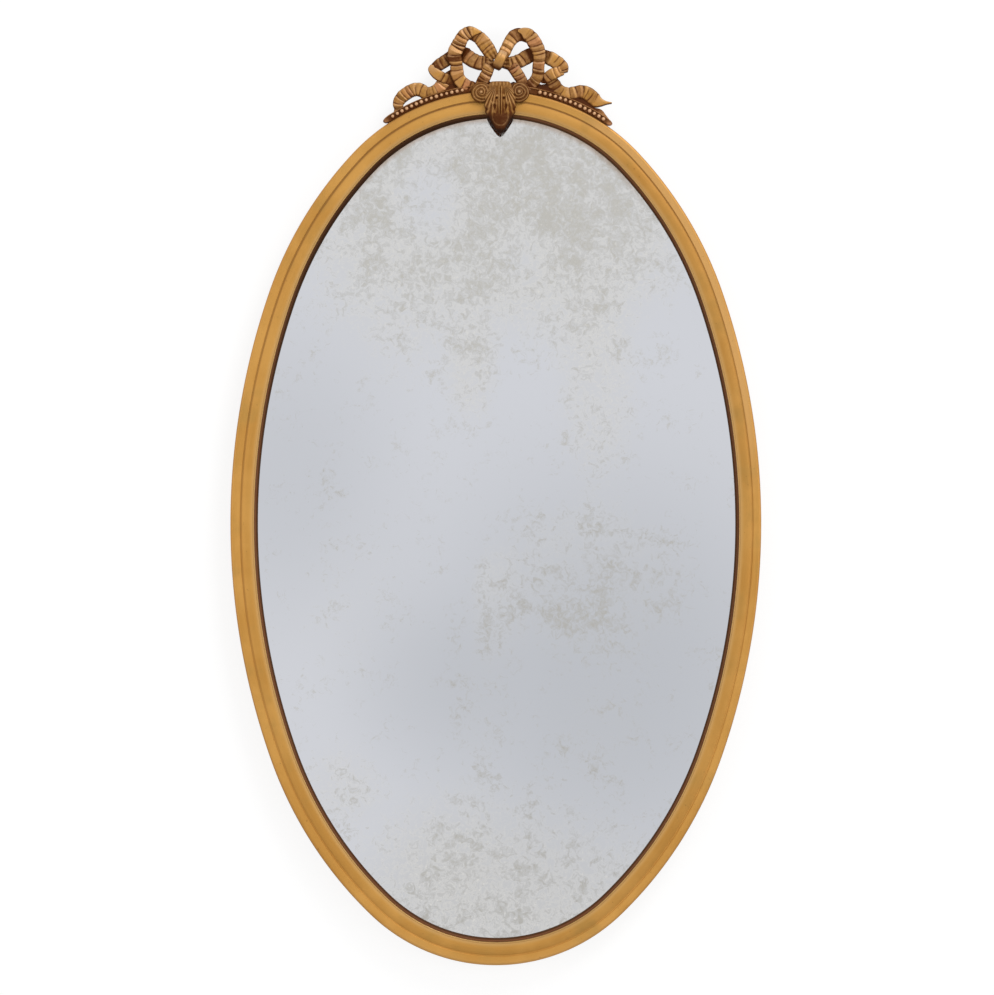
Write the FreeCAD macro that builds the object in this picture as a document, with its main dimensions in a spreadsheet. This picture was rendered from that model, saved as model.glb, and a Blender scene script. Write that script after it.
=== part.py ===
import FreeCAD, Part
import math
import os
from collections import namedtuple

import Sketcher
from FreeCAD import Placement, Rotation, Vector

# Oval wall mirror with a carved ribbon crest, in millimetres.
# +X is to the right as the mirror is looked at, +Z is up and the glass faces -Y.
# The origin lies on the rear plane, at the level where the oval is widest.
# "Inset" is measured inwards from the moulding's outer edge, square to that edge.
# "Forward" is measured from the rear plane towards the viewer.

DOC = FreeCAD.newDocument("OvalMirror")
RIGHT = Vector(1, 0, 0)
UP = Vector(0, 0, 1)
REARWARD = Vector(0, 1, 0)
FORWARD = Vector(0, -1, 0)
HALF_TURN = 180
FULL_TURN = 360
TOP = 90
BOTTOM = 270
LEAST_CUT = 0.01
BEND_SHARE = 0.45

DRIVING_SIZES = [
    ("oval_width", 680, "across the moulding"),
    ("top_rise", 554, "widest level up to the moulding's top"),
    ("bottom_drop", 566, "widest level down to the moulding's foot"),
    ("upper_side_turn", 19.08, "degrees of the side arc, upper half"),
    ("upper_shoulder_turn", 43.43, "degrees where the shoulder meets the top arc"),
    ("upper_shoulder_share", 0.8543, "shoulder radius over the mean of side and top"),
    ("lower_side_turn", 19.46, "degrees of the side arc, lower half"),
    ("lower_shoulder_turn", 46.14, "degrees where the shoulder meets the foot arc"),
    ("lower_shoulder_share", 0.9006, "shoulder radius over the mean of side and foot"),
    ("frame_depth", 28, "rear plane to the front of the outer band"),
    ("edge_round", 3, "rounding of the outer front edge"),
    ("back_depth", 10, "depth of the back rails"),
    ("back_inset", 1.5, "back rails' outer face inside the moulding's"),
    ("back_chamfer", 2, "chamfer along the back rails' outer rear edge"),
    ("band_width", 11.3, "outer band, edge to groove"),
    ("band_fall", 2.4, "fall of the outer band towards the groove"),
    ("groove_width", 1.1, "outer flank of the groove"),
    ("groove_drop", 1.6, "depth of the groove below the outer band"),
    ("ovolo_radius", 13, "curve of the inner band"),
    ("sight_width", 29, "outer edge to the moulding's sight edge"),
    ("sight_drop", 4.4, "sight edge behind the front of the outer band"),
    ("rebate_width", 7, "lip over the slip"),
    ("board_thickness", 8, "backboards"),
    ("felt_thickness", 1, "felt behind the glass"),
    ("glass_thickness", 4, "mirror plate"),
    ("slip_thickness", 4, "dark slip at its outer part"),
    ("slip_reveal", 5, "slip that shows inside the sight edge"),
    ("slip_edge", 1.6, "slip at its inner edge"),
    ("fit_gap", 0.3, "pieces laid into the rebate or beside each other"),
    ("glass_margin", 3, "rebate wall to the edge of the glass"),
    ("shim_length", 14, "shims at the edge of the glass"),
    ("middle_board", 240, "width of the middle backboard"),
    ("dowel_diameter", 8, "dowels between the moulding's four lengths"),
    ("dowel_length", 40, "same dowels"),
    ("dowel_inset", 11, "dowel centre from the outer edge"),
    ("dowel_forward", 17, "dowel centre from the rear plane"),
    ("bore_clearance", 0.1, "round a glued dowel or a screw"),
    ("bore_spare", 0.3, "past the end of a dowel or a screw"),
    ("wood_screw_diameter", 4, "screws through the back rails"),
    ("wood_screw_length", 18, "under the head"),
    ("wood_screw_head", 8, "head diameter"),
    ("wood_screw_head_height", 2.4, "head"),
    ("screw_below_hanger", 30, "strap's lower end down to a back rail screw"),
    ("screw_beside_joint", 42, "joint of the moulding to a back rail screw"),
    ("pivot_screw_diameter", 3.5, "turn button pivots"),
    ("pivot_screw_length", 12, "under the head"),
    ("pivot_screw_head", 7.5, "head diameter"),
    ("pivot_screw_head_height", 2, "head"),
    ("strap_screw_diameter", 3.5, "screws of the hanger straps"),
    ("strap_screw_length", 14, "under the head"),
    ("strap_screw_head", 6.5, "head diameter"),
    ("strap_screw_head_height", 1.2, "head"),
    ("head_chamfer", 0.4, "screw heads"),
    ("slot_width", 1, "screw slots"),
    ("slot_depth", 0.7, "screw slots"),
    ("button_length", 34, "turn buttons"),
    ("button_width", 12, "turn buttons"),
    ("button_thickness", 2.4, "turn buttons"),
    ("button_tail", 9, "pivot to the button's outer end"),
    ("running_gap", 0.3, "faces that slide past each other"),
    ("running_clearance", 0.06, "round a pivot"),
    ("hanger_height", 209, "ring axis above the widest level"),
    ("strap_width", 14, "hanger straps"),
    ("strap_length", 42, "below the ring axis"),
    ("strap_overrun", 2, "strap above the ring axis"),
    ("strap_thickness", 1.6, "hanger straps"),
    ("upper_screw_drop", 11, "ring axis to the upper strap screw"),
    ("lower_screw_drop", 34, "ring axis to the lower strap screw"),
    ("ring_wire", 3, "ring stock"),
    ("ring_half_width", 12, "ring centre line from its middle"),
    ("ring_leg", 6, "straight sides of the ring"),
    ("eye_wall", 0.9, "strap eye round the ring"),
    ("bumper_diameter", 14, "felt bumpers"),
    ("bumper_height", 6.5, "felt bumpers"),
    ("rail_rise", 10, "crest rail above the moulding's edge"),
    ("rail_back", 12, "rear of the crest rail from the rear plane"),
    ("rail_chamfer", 1.5, "upper front edge of the crest rail"),
    ("rail_reach_left", 139, "left end of the crest rail from the centre line"),
    ("rail_reach_right", 145, "right end of the crest rail from the centre line"),
    ("glue_gap", 0.2, "glue line under carved pieces"),
    ("peg_diameter", 6, "pegs of the crest"),
    ("peg_end_margin", 24, "outer crest pegs from the rail's ends, sideways"),
    ("peg_in_rail", 7, "peg inside the crest rail"),
    ("peg_in_frame", 14, "peg inside the moulding"),
    ("peg_in_leaf", 5, "leaf peg inside the leaf"),
    ("bead_diameter", 5, "beads on the crest rail"),
    ("bead_pitch", 7, "bead to bead"),
    ("bead_rise", 6.2, "bead row above the moulding's edge"),
    ("bead_first_left", 41, "bead nearest the leaf, left"),
    ("bead_first_right", 54, "bead nearest the leaf, right"),
    ("bead_end_margin", 6, "rail end to the last bead"),
    ("loop_width", 15, "ribbon of the two upper loops"),
    ("strand_width", 13, "ribbon of the strands behind them"),
    ("tail_width", 12, "ribbon of the folds and tails"),
    ("stem_width", 10.5, "ribbon of the stems"),
    ("ribbon_depth", 8, "each of the two layers of ribbon, front to back"),
    ("knot_length", 25, "wrap over the knot"),
    ("knot_width", 15, "wrap over the knot"),
    ("knot_depth", 6, "wrap over the knot"),
    ("knot_lean", 24, "degrees that the wrap leans to the right"),
    ("knot_offset", 4.2, "knot right of the centre line"),
    ("knot_rise", 40.8, "knot above the moulding's edge"),
    ("leaf_offset", 6.3, "leaf right of the centre line"),
    ("leaf_rise", 12.6, "top of the leaf above the moulding's edge"),
    ("leaf_drop", 56.4, "tip of the leaf below the moulding's edge"),
    ("leaf_top_width", 18, "top edge of the leaf"),
    ("leaf_side_radius", 50, "curve of the leaf's sides"),
    ("leaf_thickness", 8, "leaf at its sides"),
    ("leaf_rib_width", 9, "midrib"),
    ("leaf_rib_depth", 12, "midrib, front to back"),
    ("leaf_rib_margin", 8, "midrib's ends inside the leaf's"),
    ("leaf_peg_inset", 6, "leaf peg below the moulding's edge"),
    ("scroll_radius", 11.5, "scrolls beside the leaf"),
    ("scroll_depth", 6, "scrolls"),
    ("scroll_eye_radius", 5, "raised eye of a scroll"),
    ("scroll_eye_depth", 8, "raised eye of a scroll"),
]

# Places along the moulding, as the compass angle of its outward normal, 0 right and 90 up.
LOWER_SCREW_ANGLES = (188.5, 240, 300, 351.5)
BUTTON_ANGLES = {
    "turn_button_right_middle": 4,
    "turn_button_right_upper": 24,
    "turn_button_top": 96,
    "turn_button_left_upper": 156,
    "turn_button_left_middle": 176,
    "turn_button_left_lower": 204,
    "turn_button_bottom": 264,
    "turn_button_right_lower": 336,
}
SHIM_ANGLES = (18, 62, 118, 162, 198, 243, 297, 342)
BUMPER_ANGLES = (250, 290)

# Centre lines of the ribbon, as (right of the centre line, above the moulding's edge).
LOOP_LEFT = [(-2.5, 46), (-12, 60), (-22.5, 71), (-32.5, 76.5), (-42, 74), (-48, 64),
             (-51, 51), (-49.5, 37), (-48.5, 25), (-44.5, 15), (-38, 9.5)]
LOOP_RIGHT = [(10, 44.5), (17.5, 62), (25.5, 72), (35, 76), (46, 72.5), (53, 63.5),
              (56, 51), (55.5, 38), (55, 27), (51.5, 17), (46, 12)]
STRAND_LEFT = [(-5.5, 35), (-14.5, 36.5), (-25, 42.5), (-36, 50), (-46, 54.5), (-61.5, 52),
               (-71.5, 47), (-79, 41)]
STRAND_RIGHT = [(19, 34.5), (35.5, 44), (45.5, 50), (55.5, 54), (65, 55), (75, 53), (83.5, 49),
                (89.5, 44.5)]
FOLD_LEFT = [(-84, 42), (-74, 31), (-63.5, 23.5)]
FOLD_RIGHT = [(93.5, 45), (81, 36.5), (71, 28.5)]
TAIL_LEFT = [(-59.5, 21), (-68.5, 17), (-79, 14), (-89, 14.5), (-97, 21), (-106, 26), (-115.5, 25),
             (-122.5, 19), (-125.5, 14)]
TAIL_RIGHT = [(68, 24.5), (73, 20), (81, 16), (89.5, 14), (98.5, 15), (107, 21.5), (116, 26),
              (124.5, 25.5), (134, 25.5), (148, 33.5)]
STEM_LEFT = [(-9.5, 32), (-11.5, 23.5), (-16, 15.5), (-21, 9)]
STEM_RIGHT = [(21.5, 32), (27, 24.5), (31.5, 18), (34.5, 13)]
SCROLL_PLACES = {"scroll_left": (-18.3, -1.8), "scroll_right": (30.8, 1.4)}

# Sheets of sizes


def new_sheet(name, rows):
    """A sheet with a named cell for each (name, number, meaning)."""
    sheet = DOC.addObject("Spreadsheet::Sheet", name)
    for row, (alias, number, meaning) in enumerate(rows, 1):
        sheet.set(f"A{row}", alias)
        sheet.set(f"B{row}", str(number))
        sheet.setAlias(f"B{row}", alias)
        sheet.set(f"C{row}", meaning)
    DOC.recompute()
    return sheet


SIZES = new_sheet("Sizes", DRIVING_SIZES)


def measure(expression):
    """The number that an expression on the sheets has now."""
    return float(SIZES.evalExpression(str(expression)))


def size(alias):
    """The number in one cell of the driving sizes."""
    return measure(f"Sizes.{alias}")


# The oval: ten tangent arcs

Arc = namedtuple("Arc", "radius_name centre radius start end")


def half_radii(half):
    """Side, shoulder and end radii of the oval's upper or lower half.

    Going round from the side to the end, the arcs' sideways runs add up to half the width and
    their upward runs to the rise. With the shoulder a share of the mean of the other two, that
    leaves two equations for the side and the end.
    """
    rise = size("top_rise") if half == "upper" else size("bottom_drop")
    side_turn = math.radians(size(f"{half}_side_turn"))
    shoulder_turn = math.radians(size(f"{half}_shoulder_turn"))
    share = size(f"{half}_shoulder_share") / 2
    shoulder_across = math.cos(side_turn) - math.cos(shoulder_turn)
    shoulder_up = math.sin(shoulder_turn) - math.sin(side_turn)
    side_across = 1 - math.cos(side_turn) + share * shoulder_across
    end_across = math.cos(shoulder_turn) + share * shoulder_across
    side_up = math.sin(side_turn) + share * shoulder_up
    end_up = 1 - math.sin(shoulder_turn) + share * shoulder_up
    half_width = size("oval_width") / 2
    scale = side_across * end_up - end_across * side_up
    side = (half_width * end_up - end_across * rise) / scale
    end = (side_across * rise - half_width * side_up) / scale
    return side, share * (side + end), end


OUTLINE_ROWS = []
for half_name, end_name in (("upper", "top"), ("lower", "bottom")):
    side_radius, shoulder_radius, end_radius = half_radii(half_name)
    OUTLINE_ROWS.append((f"{half_name}_side_radius", side_radius, "side arc"))
    OUTLINE_ROWS.append((f"{half_name}_shoulder_radius", shoulder_radius, "shoulder arc"))
    OUTLINE_ROWS.append((f"{end_name}_radius", end_radius, "end arc"))
OUTLINE = new_sheet("Outline", OUTLINE_ROWS)


def turned(centre, distance, angle):
    """The point at a distance and angle from a centre, in the plane of the oval."""
    return (centre[0] + distance * math.cos(math.radians(angle)),
            centre[1] + distance * math.sin(math.radians(angle)))


def quarter_arcs(half, end_name):
    """Side, shoulder and end arc of the right-hand quarter, as (radius name, centre, radius, turn)."""
    radius = {name: measure(f"Outline.{name}") for name in
              (f"{half}_side_radius", f"{half}_shoulder_radius", f"{end_name}_radius")}
    side, shoulder, end = radius.values()
    side_turn = size(f"{half}_side_turn")
    shoulder_turn = size(f"{half}_shoulder_turn")
    side_centre = (size("oval_width") / 2 - side, 0)
    shoulder_centre = turned(side_centre, side - shoulder, side_turn)
    end_centre = turned(shoulder_centre, shoulder - end, shoulder_turn)
    centres = (side_centre, shoulder_centre, (0, end_centre[1]))
    return list(zip(radius, centres, radius.values(), (0, side_turn, shoulder_turn)))


def oval_arcs():
    """All arcs in order of the outward normal's angle, from the right side upwards."""
    arcs = []
    side, shoulder, end = quarter_arcs("upper", "top")
    low_side, low_shoulder, low_end = quarter_arcs("lower", "bottom")
    for row, after in ((side, shoulder[3]), (shoulder, end[3]), (end, HALF_TURN - end[3])):
        arcs.append(Arc(row[0], row[1], row[2], row[3], after))
    for row, before in ((shoulder, end[3]), (side, shoulder[3])):
        mirrored = (-row[1][0], row[1][1])
        arcs.append(Arc(row[0], mirrored, row[2], HALF_TURN - before, HALF_TURN - row[3]))
    for row, after in ((low_side, low_shoulder[3]), (low_shoulder, low_end[3])):
        inverted = (-row[1][0], -row[1][1])
        arcs.append(Arc(row[0], inverted, row[2], HALF_TURN + row[3], HALF_TURN + after))
    foot = (0, -low_end[1][1])
    arcs.append(Arc(low_end[0], foot, low_end[2], HALF_TURN + low_end[3], FULL_TURN - low_end[3]))
    for row, before in ((low_shoulder, low_end[3]), (low_side, low_shoulder[3])):
        lowered = (row[1][0], -row[1][1])
        arcs.append(Arc(row[0], lowered, row[2], FULL_TURN - before, FULL_TURN - row[3]))
    return arcs


ARCS = oval_arcs()


def arc_at(angle):
    """The arc whose outward normal takes this angle."""
    angle = angle % FULL_TURN
    return next(arc for arc in ARCS if arc.start <= angle <= arc.end)


def station(angle, inset=0, forward=0):
    """The point of the outline with this normal, moved inwards and forward."""
    arc = arc_at(angle)
    across, up = turned(arc.centre, arc.radius - inset, angle)
    return Vector(across, -forward, up)


def outward(angle):
    """Unit vector of the outline's normal."""
    return Vector(math.cos(math.radians(angle)), 0, math.sin(math.radians(angle)))


def spans(start, end):
    """The stretch from one normal angle to another, cut where the arcs meet."""
    stretch = []
    for lap in (0, FULL_TURN):
        for arc in ARCS:
            low = max(start, arc.start + lap)
            high = min(end, arc.end + lap)
            if high > low:
                stretch.append((arc, low, high))
    return stretch


def edge_angle(across):
    """Normal angle of the upper edge at a distance right of the centre line."""
    for arc in ARCS:
        share = (across - arc.centre[0]) / arc.radius
        angle = math.degrees(math.acos(share)) if abs(share) <= 1 else -1
        if arc.end <= HALF_TURN and arc.start <= angle <= arc.end:
            return angle
    raise ValueError(f"the moulding doesn't reach {across} mm from its centre line")


def above_edge(across, rise, forward=0):
    """The point at a height above the moulding's upper edge."""
    edge = station(edge_angle(across))
    return Vector(across, -forward, edge.z + rise)


# Sketches, features and placements


def placed(origin, z_axis, x_axis):
    """Placement with a given origin, local Z and local X."""
    return Placement(origin, Rotation(x_axis, z_axis.cross(x_axis), z_axis, "ZXY"))


def rear_place(angle, inset, facing=-1):
    """Place on the rear plane: local Z points rearward and X inwards, or outwards if facing is 1."""
    return placed(station(angle, inset), REARWARD, outward(angle) * facing)


def end_place(angle, inset, forward, direction):
    """Place on a cross-cut: local Z points along the moulding, 1 for rising angles."""
    along = outward(angle + TOP) * direction
    return placed(station(angle, inset, forward), along, outward(angle))


def front_place(across, rise, forward):
    """Place facing the viewer: local X is right and Y is up."""
    return placed(above_edge(across, rise, forward), FORWARD, RIGHT)


def new_body(label, placement=Placement()):
    """An empty body."""
    body = DOC.addObject("PartDesign::Body", label)
    body.Label = label
    body.Placement = placement
    return body


def new_sketch(body, name, placement):
    """A sketch held on the body's own base plane at a placement."""
    sketch = body.newObject("Sketcher::SketchObject", name)
    plane = next(item for item in body.Origin.OriginFeatures if item.Role == "XY_Plane")
    sketch.AttachmentSupport = [(plane, "")]
    sketch.MapMode = "FlatFace"
    sketch.AttachmentOffset = placement
    return sketch


def fix_point(sketch, edge, point, across, up):
    """Hold one point of the sketch at two expressions."""
    for kind, expression in (("DistanceX", across), ("DistanceY", up)):
        constraint = Sketcher.Constraint(kind, -1, 1, edge, point, measure(expression))
        index = sketch.addConstraint(constraint)
        sketch.setExpression(f"Constraints[{index}]", str(expression))


def fix_radius(sketch, edge, expression):
    """Hold the radius of an arc or circle at an expression."""
    index = sketch.addConstraint(Sketcher.Constraint("Radius", edge, measure(expression)))
    sketch.setExpression(f"Constraints[{index}]", str(expression))


def bulging_arc(start, end, radius):
    """The short arc from start to end that turns to the left."""
    chord = end - start
    to_centre = math.sqrt(radius ** 2 - (chord.Length / 2) ** 2)
    aside = Vector(-chord.y, chord.x, 0).normalize()
    centre = (start + end) / 2 + aside * to_centre
    first = math.atan2(start.y - centre.y, start.x - centre.x)
    last = math.atan2(end.y - centre.y, end.x - centre.x)
    return Part.ArcOfCircle(Part.Circle(centre, UP, radius), first, last)


def draw_outline(sketch, corners):
    """A closed outline through (across, up) corners, drawn anticlockwise.

    A corner's third entry, where it has one, is the radius of an outward arc to the next corner.
    """
    points = [Vector(measure(corner[0]), measure(corner[1]), 0) for corner in corners]
    edges = []
    for index, corner in enumerate(corners):
        following = points[(index + 1) % len(points)]
        if len(corner) > 2:
            shape = bulging_arc(points[index], following, measure(corner[2]))
        else:
            shape = Part.LineSegment(points[index], following)
        edges.append(sketch.addGeometry(shape, False))
    for index, edge in enumerate(edges):
        after = edges[(index + 1) % len(edges)]
        sketch.addConstraint(Sketcher.Constraint("Coincident", edge, 2, after, 1))
    for edge, corner in zip(edges, corners):
        fix_point(sketch, edge, 1, corner[0], corner[1])
        if len(corner) > 2:
            fix_radius(sketch, edge, corner[2])


def draw_circle(sketch, radius, across="0", up="0"):
    """A circle at two expressions."""
    centre = Vector(measure(across), measure(up), 0)
    edge = sketch.addGeometry(Part.Circle(centre, UP, measure(radius)), False)
    fix_point(sketch, edge, 3, across, up)
    fix_radius(sketch, edge, radius)


def draw_box(sketch, left, low, right, high):
    """A rectangle between four expressions."""
    draw_outline(sketch, [(left, low), (right, low), (right, high), (left, high)])


def pad(body, sketch, length):
    """Raise a sketch along its normal."""
    feature = body.newObject("PartDesign::Pad", f"{sketch.Name}_pad")
    feature.Profile = sketch
    feature.setExpression("Length", length)
    return feature


def pocket(body, sketch, depth):
    """Cut a sketch into the body, against the sketch's normal."""
    feature = body.newObject("PartDesign::Pocket", f"{sketch.Name}_cut")
    feature.Profile = sketch
    feature.setExpression("Length", depth)
    return feature


def bore(body, name, placement, diameter, depth):
    """A round hole into the body, against the placement's Z."""
    sketch = new_sketch(body, name, placement)
    draw_circle(sketch, f"({diameter}) / 2")
    return pocket(body, sketch, depth)


def revolve_spans(body, start, end, section):
    """Carry a section along the outline from one normal angle to another.

    Each arc has its own sketch, whose Y axis is the arc's axis and points forward.
    """
    for arc, low, high in spans(start, end):
        origin = Vector(arc.centre[0], 0, arc.centre[1])
        along = outward(low - TOP)
        sketch = new_sketch(body, f"{body.Name}_section", placed(origin, along, outward(low)))
        draw_outline(sketch, section(f"Outline.{arc.radius_name}"))
        turn = body.newObject("PartDesign::Revolution", f"{body.Name}_length")
        turn.Profile = sketch
        turn.ReferenceAxis = (sketch, ["V_Axis"])
        turn.Angle = high - low


def gather(label, pattern, placements):
    """One node of like pieces: copies of a pattern at the given places."""
    copies = []
    for place in placements:
        copy = pattern.Shape.copy()
        copy.Placement = place.multiply(copy.Placement)
        copies.append(copy)
    group = DOC.addObject("Part::Feature", label)
    group.Shape = Part.makeCompound(copies)
    group.Placement = Placement()
    return group


# Levels and insets that several pieces share, as expressions

REBATE_WALL = "(Sizes.sight_width - Sizes.rebate_width)"
FELT_FORWARD = "Sizes.board_thickness"
GLASS_FORWARD = "(Sizes.board_thickness + Sizes.felt_thickness)"
SLIP_FORWARD = f"({GLASS_FORWARD} + Sizes.glass_thickness)"
LIP_FORWARD = f"({SLIP_FORWARD} + Sizes.slip_thickness)"
GLASS_INSET = f"({REBATE_WALL} + Sizes.glass_margin)"
BACK_MIDDLE = measure(f"(Sizes.back_inset + {REBATE_WALL}) / 2")
CARVING_FORWARD = "(Sizes.frame_depth + Sizes.glue_gap)"
FRONT_RIBBON = "(Sizes.rail_back + Sizes.ribbon_depth + Sizes.glue_gap)"
AXIS_LIFT = "(Sizes.strap_thickness + Sizes.ring_wire / 2 + Sizes.running_gap)"

UPPER_JOINT = (size("upper_side_turn") + size("upper_shoulder_turn")) / 2
LOWER_JOINT = (size("lower_side_turn") + size("lower_shoulder_turn")) / 2
FRAME_LENGTHS = {
    "frame_top": (UPPER_JOINT, HALF_TURN - UPPER_JOINT),
    "frame_left": (HALF_TURN - UPPER_JOINT, HALF_TURN + LOWER_JOINT),
    "frame_bottom": (HALF_TURN + LOWER_JOINT, FULL_TURN - LOWER_JOINT),
    "frame_right": (FULL_TURN - LOWER_JOINT, FULL_TURN + UPPER_JOINT),
}
BACK_LENGTHS = {
    "back_rail_upper_right": (0, TOP),
    "back_rail_upper_left": (TOP, HALF_TURN),
    "back_rail_lower_left": (HALF_TURN, BOTTOM),
    "back_rail_lower_right": (BOTTOM, FULL_TURN),
}
STRAP_REACH = size("hanger_height") / (measure("Outline.upper_side_radius") - BACK_MIDDLE)
HANGER_ANGLE = math.degrees(math.asin(STRAP_REACH))
HANGER_ANGLES = {"right": HANGER_ANGLE, "left": HALF_TURN - HANGER_ANGLE}
HANGERS = {
    "right": rear_place(HANGER_ANGLES["right"], BACK_MIDDLE, facing=-1),
    "left": rear_place(HANGER_ANGLES["left"], BACK_MIDDLE, facing=1),
}

# How far the underside of each kind of screw head stands behind the rear plane.
HEAD_LIFT = {
    "wood": "(-Sizes.wood_screw_head_height)",
    "pivot": "(Sizes.button_thickness + 2 * Sizes.running_gap)",
    "strap": "Sizes.strap_thickness",
}


def shifted(place, across=0, up=0, out=0):
    """A placement moved along its own axes."""
    return place.multiply(Placement(Vector(across, up, out), Rotation()))


def peg_angles():
    """Normal angles at the crest pegs: one near each end of the rail and one halfway to each."""
    margin = size("peg_end_margin")
    ends = (margin - size("rail_reach_left"), size("rail_reach_right") - margin)
    return [edge_angle(across) for end in ends for across in (end, end / 2)]


def back_screw_angles():
    """Normal angles at the back rails' screws, clear of the hangers, the dowels and the crest pegs."""
    level = size("hanger_height") - size("strap_length") - size("screw_below_hanger")
    foot = math.degrees(math.asin(level / (measure("Outline.upper_side_radius") - BACK_MIDDLE)))
    step = size("screw_beside_joint")
    upper = UPPER_JOINT + math.degrees(step / measure("Outline.upper_shoulder_radius"))
    lower = LOWER_JOINT + math.degrees(step / measure("Outline.lower_shoulder_radius"))
    left_outer, left_inner, right_outer, right_inner = peg_angles()
    sides = [foot, upper, HALF_TURN - foot, HALF_TURN - upper, HALF_TURN + lower, FULL_TURN - lower]
    crest = [(upper + right_outer) / 2, (right_outer + right_inner) / 2,
             (left_outer + left_inner) / 2, (left_outer + HALF_TURN - upper) / 2]
    return [*sides, *crest, *LOWER_SCREW_ANGLES]


def screw_places(kind):
    """Where each screw of a kind meets the rear plane, as (normal angle, placement)."""
    if kind == "wood":
        return [(angle, rear_place(angle, BACK_MIDDLE)) for angle in back_screw_angles()]
    if kind == "pivot":
        return [(angle, rear_place(angle, BACK_MIDDLE)) for angle in BUTTON_ANGLES.values()]
    drops = (size("upper_screw_drop"), size("lower_screw_drop"))
    return [(HANGER_ANGLES[side], shifted(HANGERS[side], up=-drop)) for side in HANGERS for drop in drops]


def within(angle, stretch):
    """Whether a normal angle lies in a stretch of the moulding."""
    return any(stretch[0] < angle + lap < stretch[1] for lap in (0, FULL_TURN))


def bore_for_screws(body, stretch, level):
    """Shank holes in one length of wood, from a level in front of the rear plane to the screws' tips."""
    for kind in HEAD_LIFT:
        diameter = f"Sizes.{kind}_screw_diameter + 2 * Sizes.bore_clearance"
        tip = f"Sizes.{kind}_screw_length - {HEAD_LIFT[kind]} + Sizes.bore_spare"
        depth = f"{tip} - {level}"
        for angle, place in screw_places(kind):
            if within(angle, stretch) and measure(depth) > 0:
                start = shifted(place, out=-measure(level))
                bore(body, f"{body.Name}_{kind}_bore", start, diameter, depth)


# Moulding and back rails


def moulding_section(radius):
    """Outer band, groove, rounded inner band, lip and rebate."""
    band_front = "Sizes.frame_depth"
    groove = "Sizes.band_width + Sizes.groove_width"
    groove_bottom = f"{band_front} - Sizes.band_fall - Sizes.groove_drop"
    sight = f"{radius} - Sizes.sight_width"
    return [
        (radius, "Sizes.back_depth"),
        (radius, f"{band_front} - Sizes.edge_round", "Sizes.edge_round"),
        (f"{radius} - Sizes.edge_round", band_front),
        (f"{radius} - Sizes.band_width", f"{band_front} - Sizes.band_fall"),
        (f"{radius} - ({groove})", groove_bottom, "Sizes.ovolo_radius"),
        (sight, f"{band_front} - Sizes.sight_drop"),
        (sight, LIP_FORWARD),
        (f"{radius} - {REBATE_WALL}", LIP_FORWARD),
        (f"{radius} - {REBATE_WALL}", "Sizes.back_depth"),
    ]


def back_section(radius):
    """Plain rail with its outer rear edge chamfered."""
    outer = f"{radius} - Sizes.back_inset"
    inner = f"{radius} - {REBATE_WALL}"
    return [
        (inner, "0"),
        (f"{outer} - Sizes.back_chamfer", "0"),
        (outer, "Sizes.back_chamfer"),
        (outer, "Sizes.back_depth"),
        (inner, "Sizes.back_depth"),
    ]


def slip_section(radius):
    """Flat behind the lip, falling towards the glass."""
    outer = f"{radius} - ({REBATE_WALL} + Sizes.fit_gap)"
    inner = f"{radius} - (Sizes.sight_width + Sizes.slip_reveal)"
    return [
        (outer, SLIP_FORWARD),
        (outer, LIP_FORWARD),
        (f"{radius} - Sizes.sight_width", LIP_FORWARD),
        (inner, f"{SLIP_FORWARD} + Sizes.slip_edge"),
        (inner, SLIP_FORWARD),
    ]


def make_frame_length(label, stretch):
    """One length of moulding with its dowel bores and screw bores."""
    body = new_body(label)
    revolve_spans(body, stretch[0], stretch[1], moulding_section)
    dowel_bore = "Sizes.dowel_diameter + 2 * Sizes.bore_clearance"
    dowel_depth = "Sizes.dowel_length / 2 + Sizes.bore_spare"
    for angle, direction in ((stretch[0], -1), (stretch[1], 1)):
        place = end_place(angle, size("dowel_inset"), size("dowel_forward"), direction)
        bore(body, f"{label}_dowel_bore", place, dowel_bore, dowel_depth)
    bore_for_screws(body, stretch, "Sizes.back_depth")
    return body


def make_back_length(label, stretch):
    """One length of back rail with its counterbored screw holes and pilot holes."""
    body = new_body(label)
    revolve_spans(body, stretch[0], stretch[1], back_section)
    for angle, place in screw_places("wood"):
        if within(angle, stretch):
            head = "Sizes.wood_screw_head + 2 * Sizes.bore_clearance"
            bore(body, f"{label}_head_bore", place, head, "Sizes.wood_screw_head_height")
    bore_for_screws(body, stretch, "0")
    return body


def make_sight_slip():
    """Dark slip all round, between the lip and the glass."""
    body = new_body("sight_slip")
    revolve_spans(body, 0, FULL_TURN, slip_section)
    return body


def make_joint_dowels():
    """One dowel across each joint of the moulding."""
    pattern = DOC.addObject("Part::Cylinder", "dowel_pattern")
    pattern.setExpression("Radius", "Sizes.dowel_diameter / 2")
    pattern.setExpression("Height", "Sizes.dowel_length")
    DOC.recompute()
    places = []
    for stretch in FRAME_LENGTHS.values():
        joint = end_place(stretch[1], size("dowel_inset"), size("dowel_forward"), 1)
        places.append(shifted(joint, out=-size("dowel_length") / 2))
    return gather("joint_dowels", pattern, places)


# Glass, felt and boards


def oval_plate(label, inset, forward, thickness):
    """A flat plate with the oval's outline, set in from the moulding's edge."""
    edges = []
    for arc in ARCS:
        angles = (arc.start, (arc.start + arc.end) / 2, arc.end)
        points = [station(angle, measure(inset), measure(forward)) for angle in angles]
        edges.append(Part.Arc(*points).toShape())
    outline = DOC.addObject("Part::Feature", f"{label}_outline")
    outline.Shape = Part.Wire(edges)
    plate = DOC.addObject("Part::Extrusion", label)
    plate.Base = outline
    plate.DirMode = "Custom"
    plate.Dir = FORWARD
    plate.Solid = True
    plate.setExpression("LengthFwd", thickness)
    return plate


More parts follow.
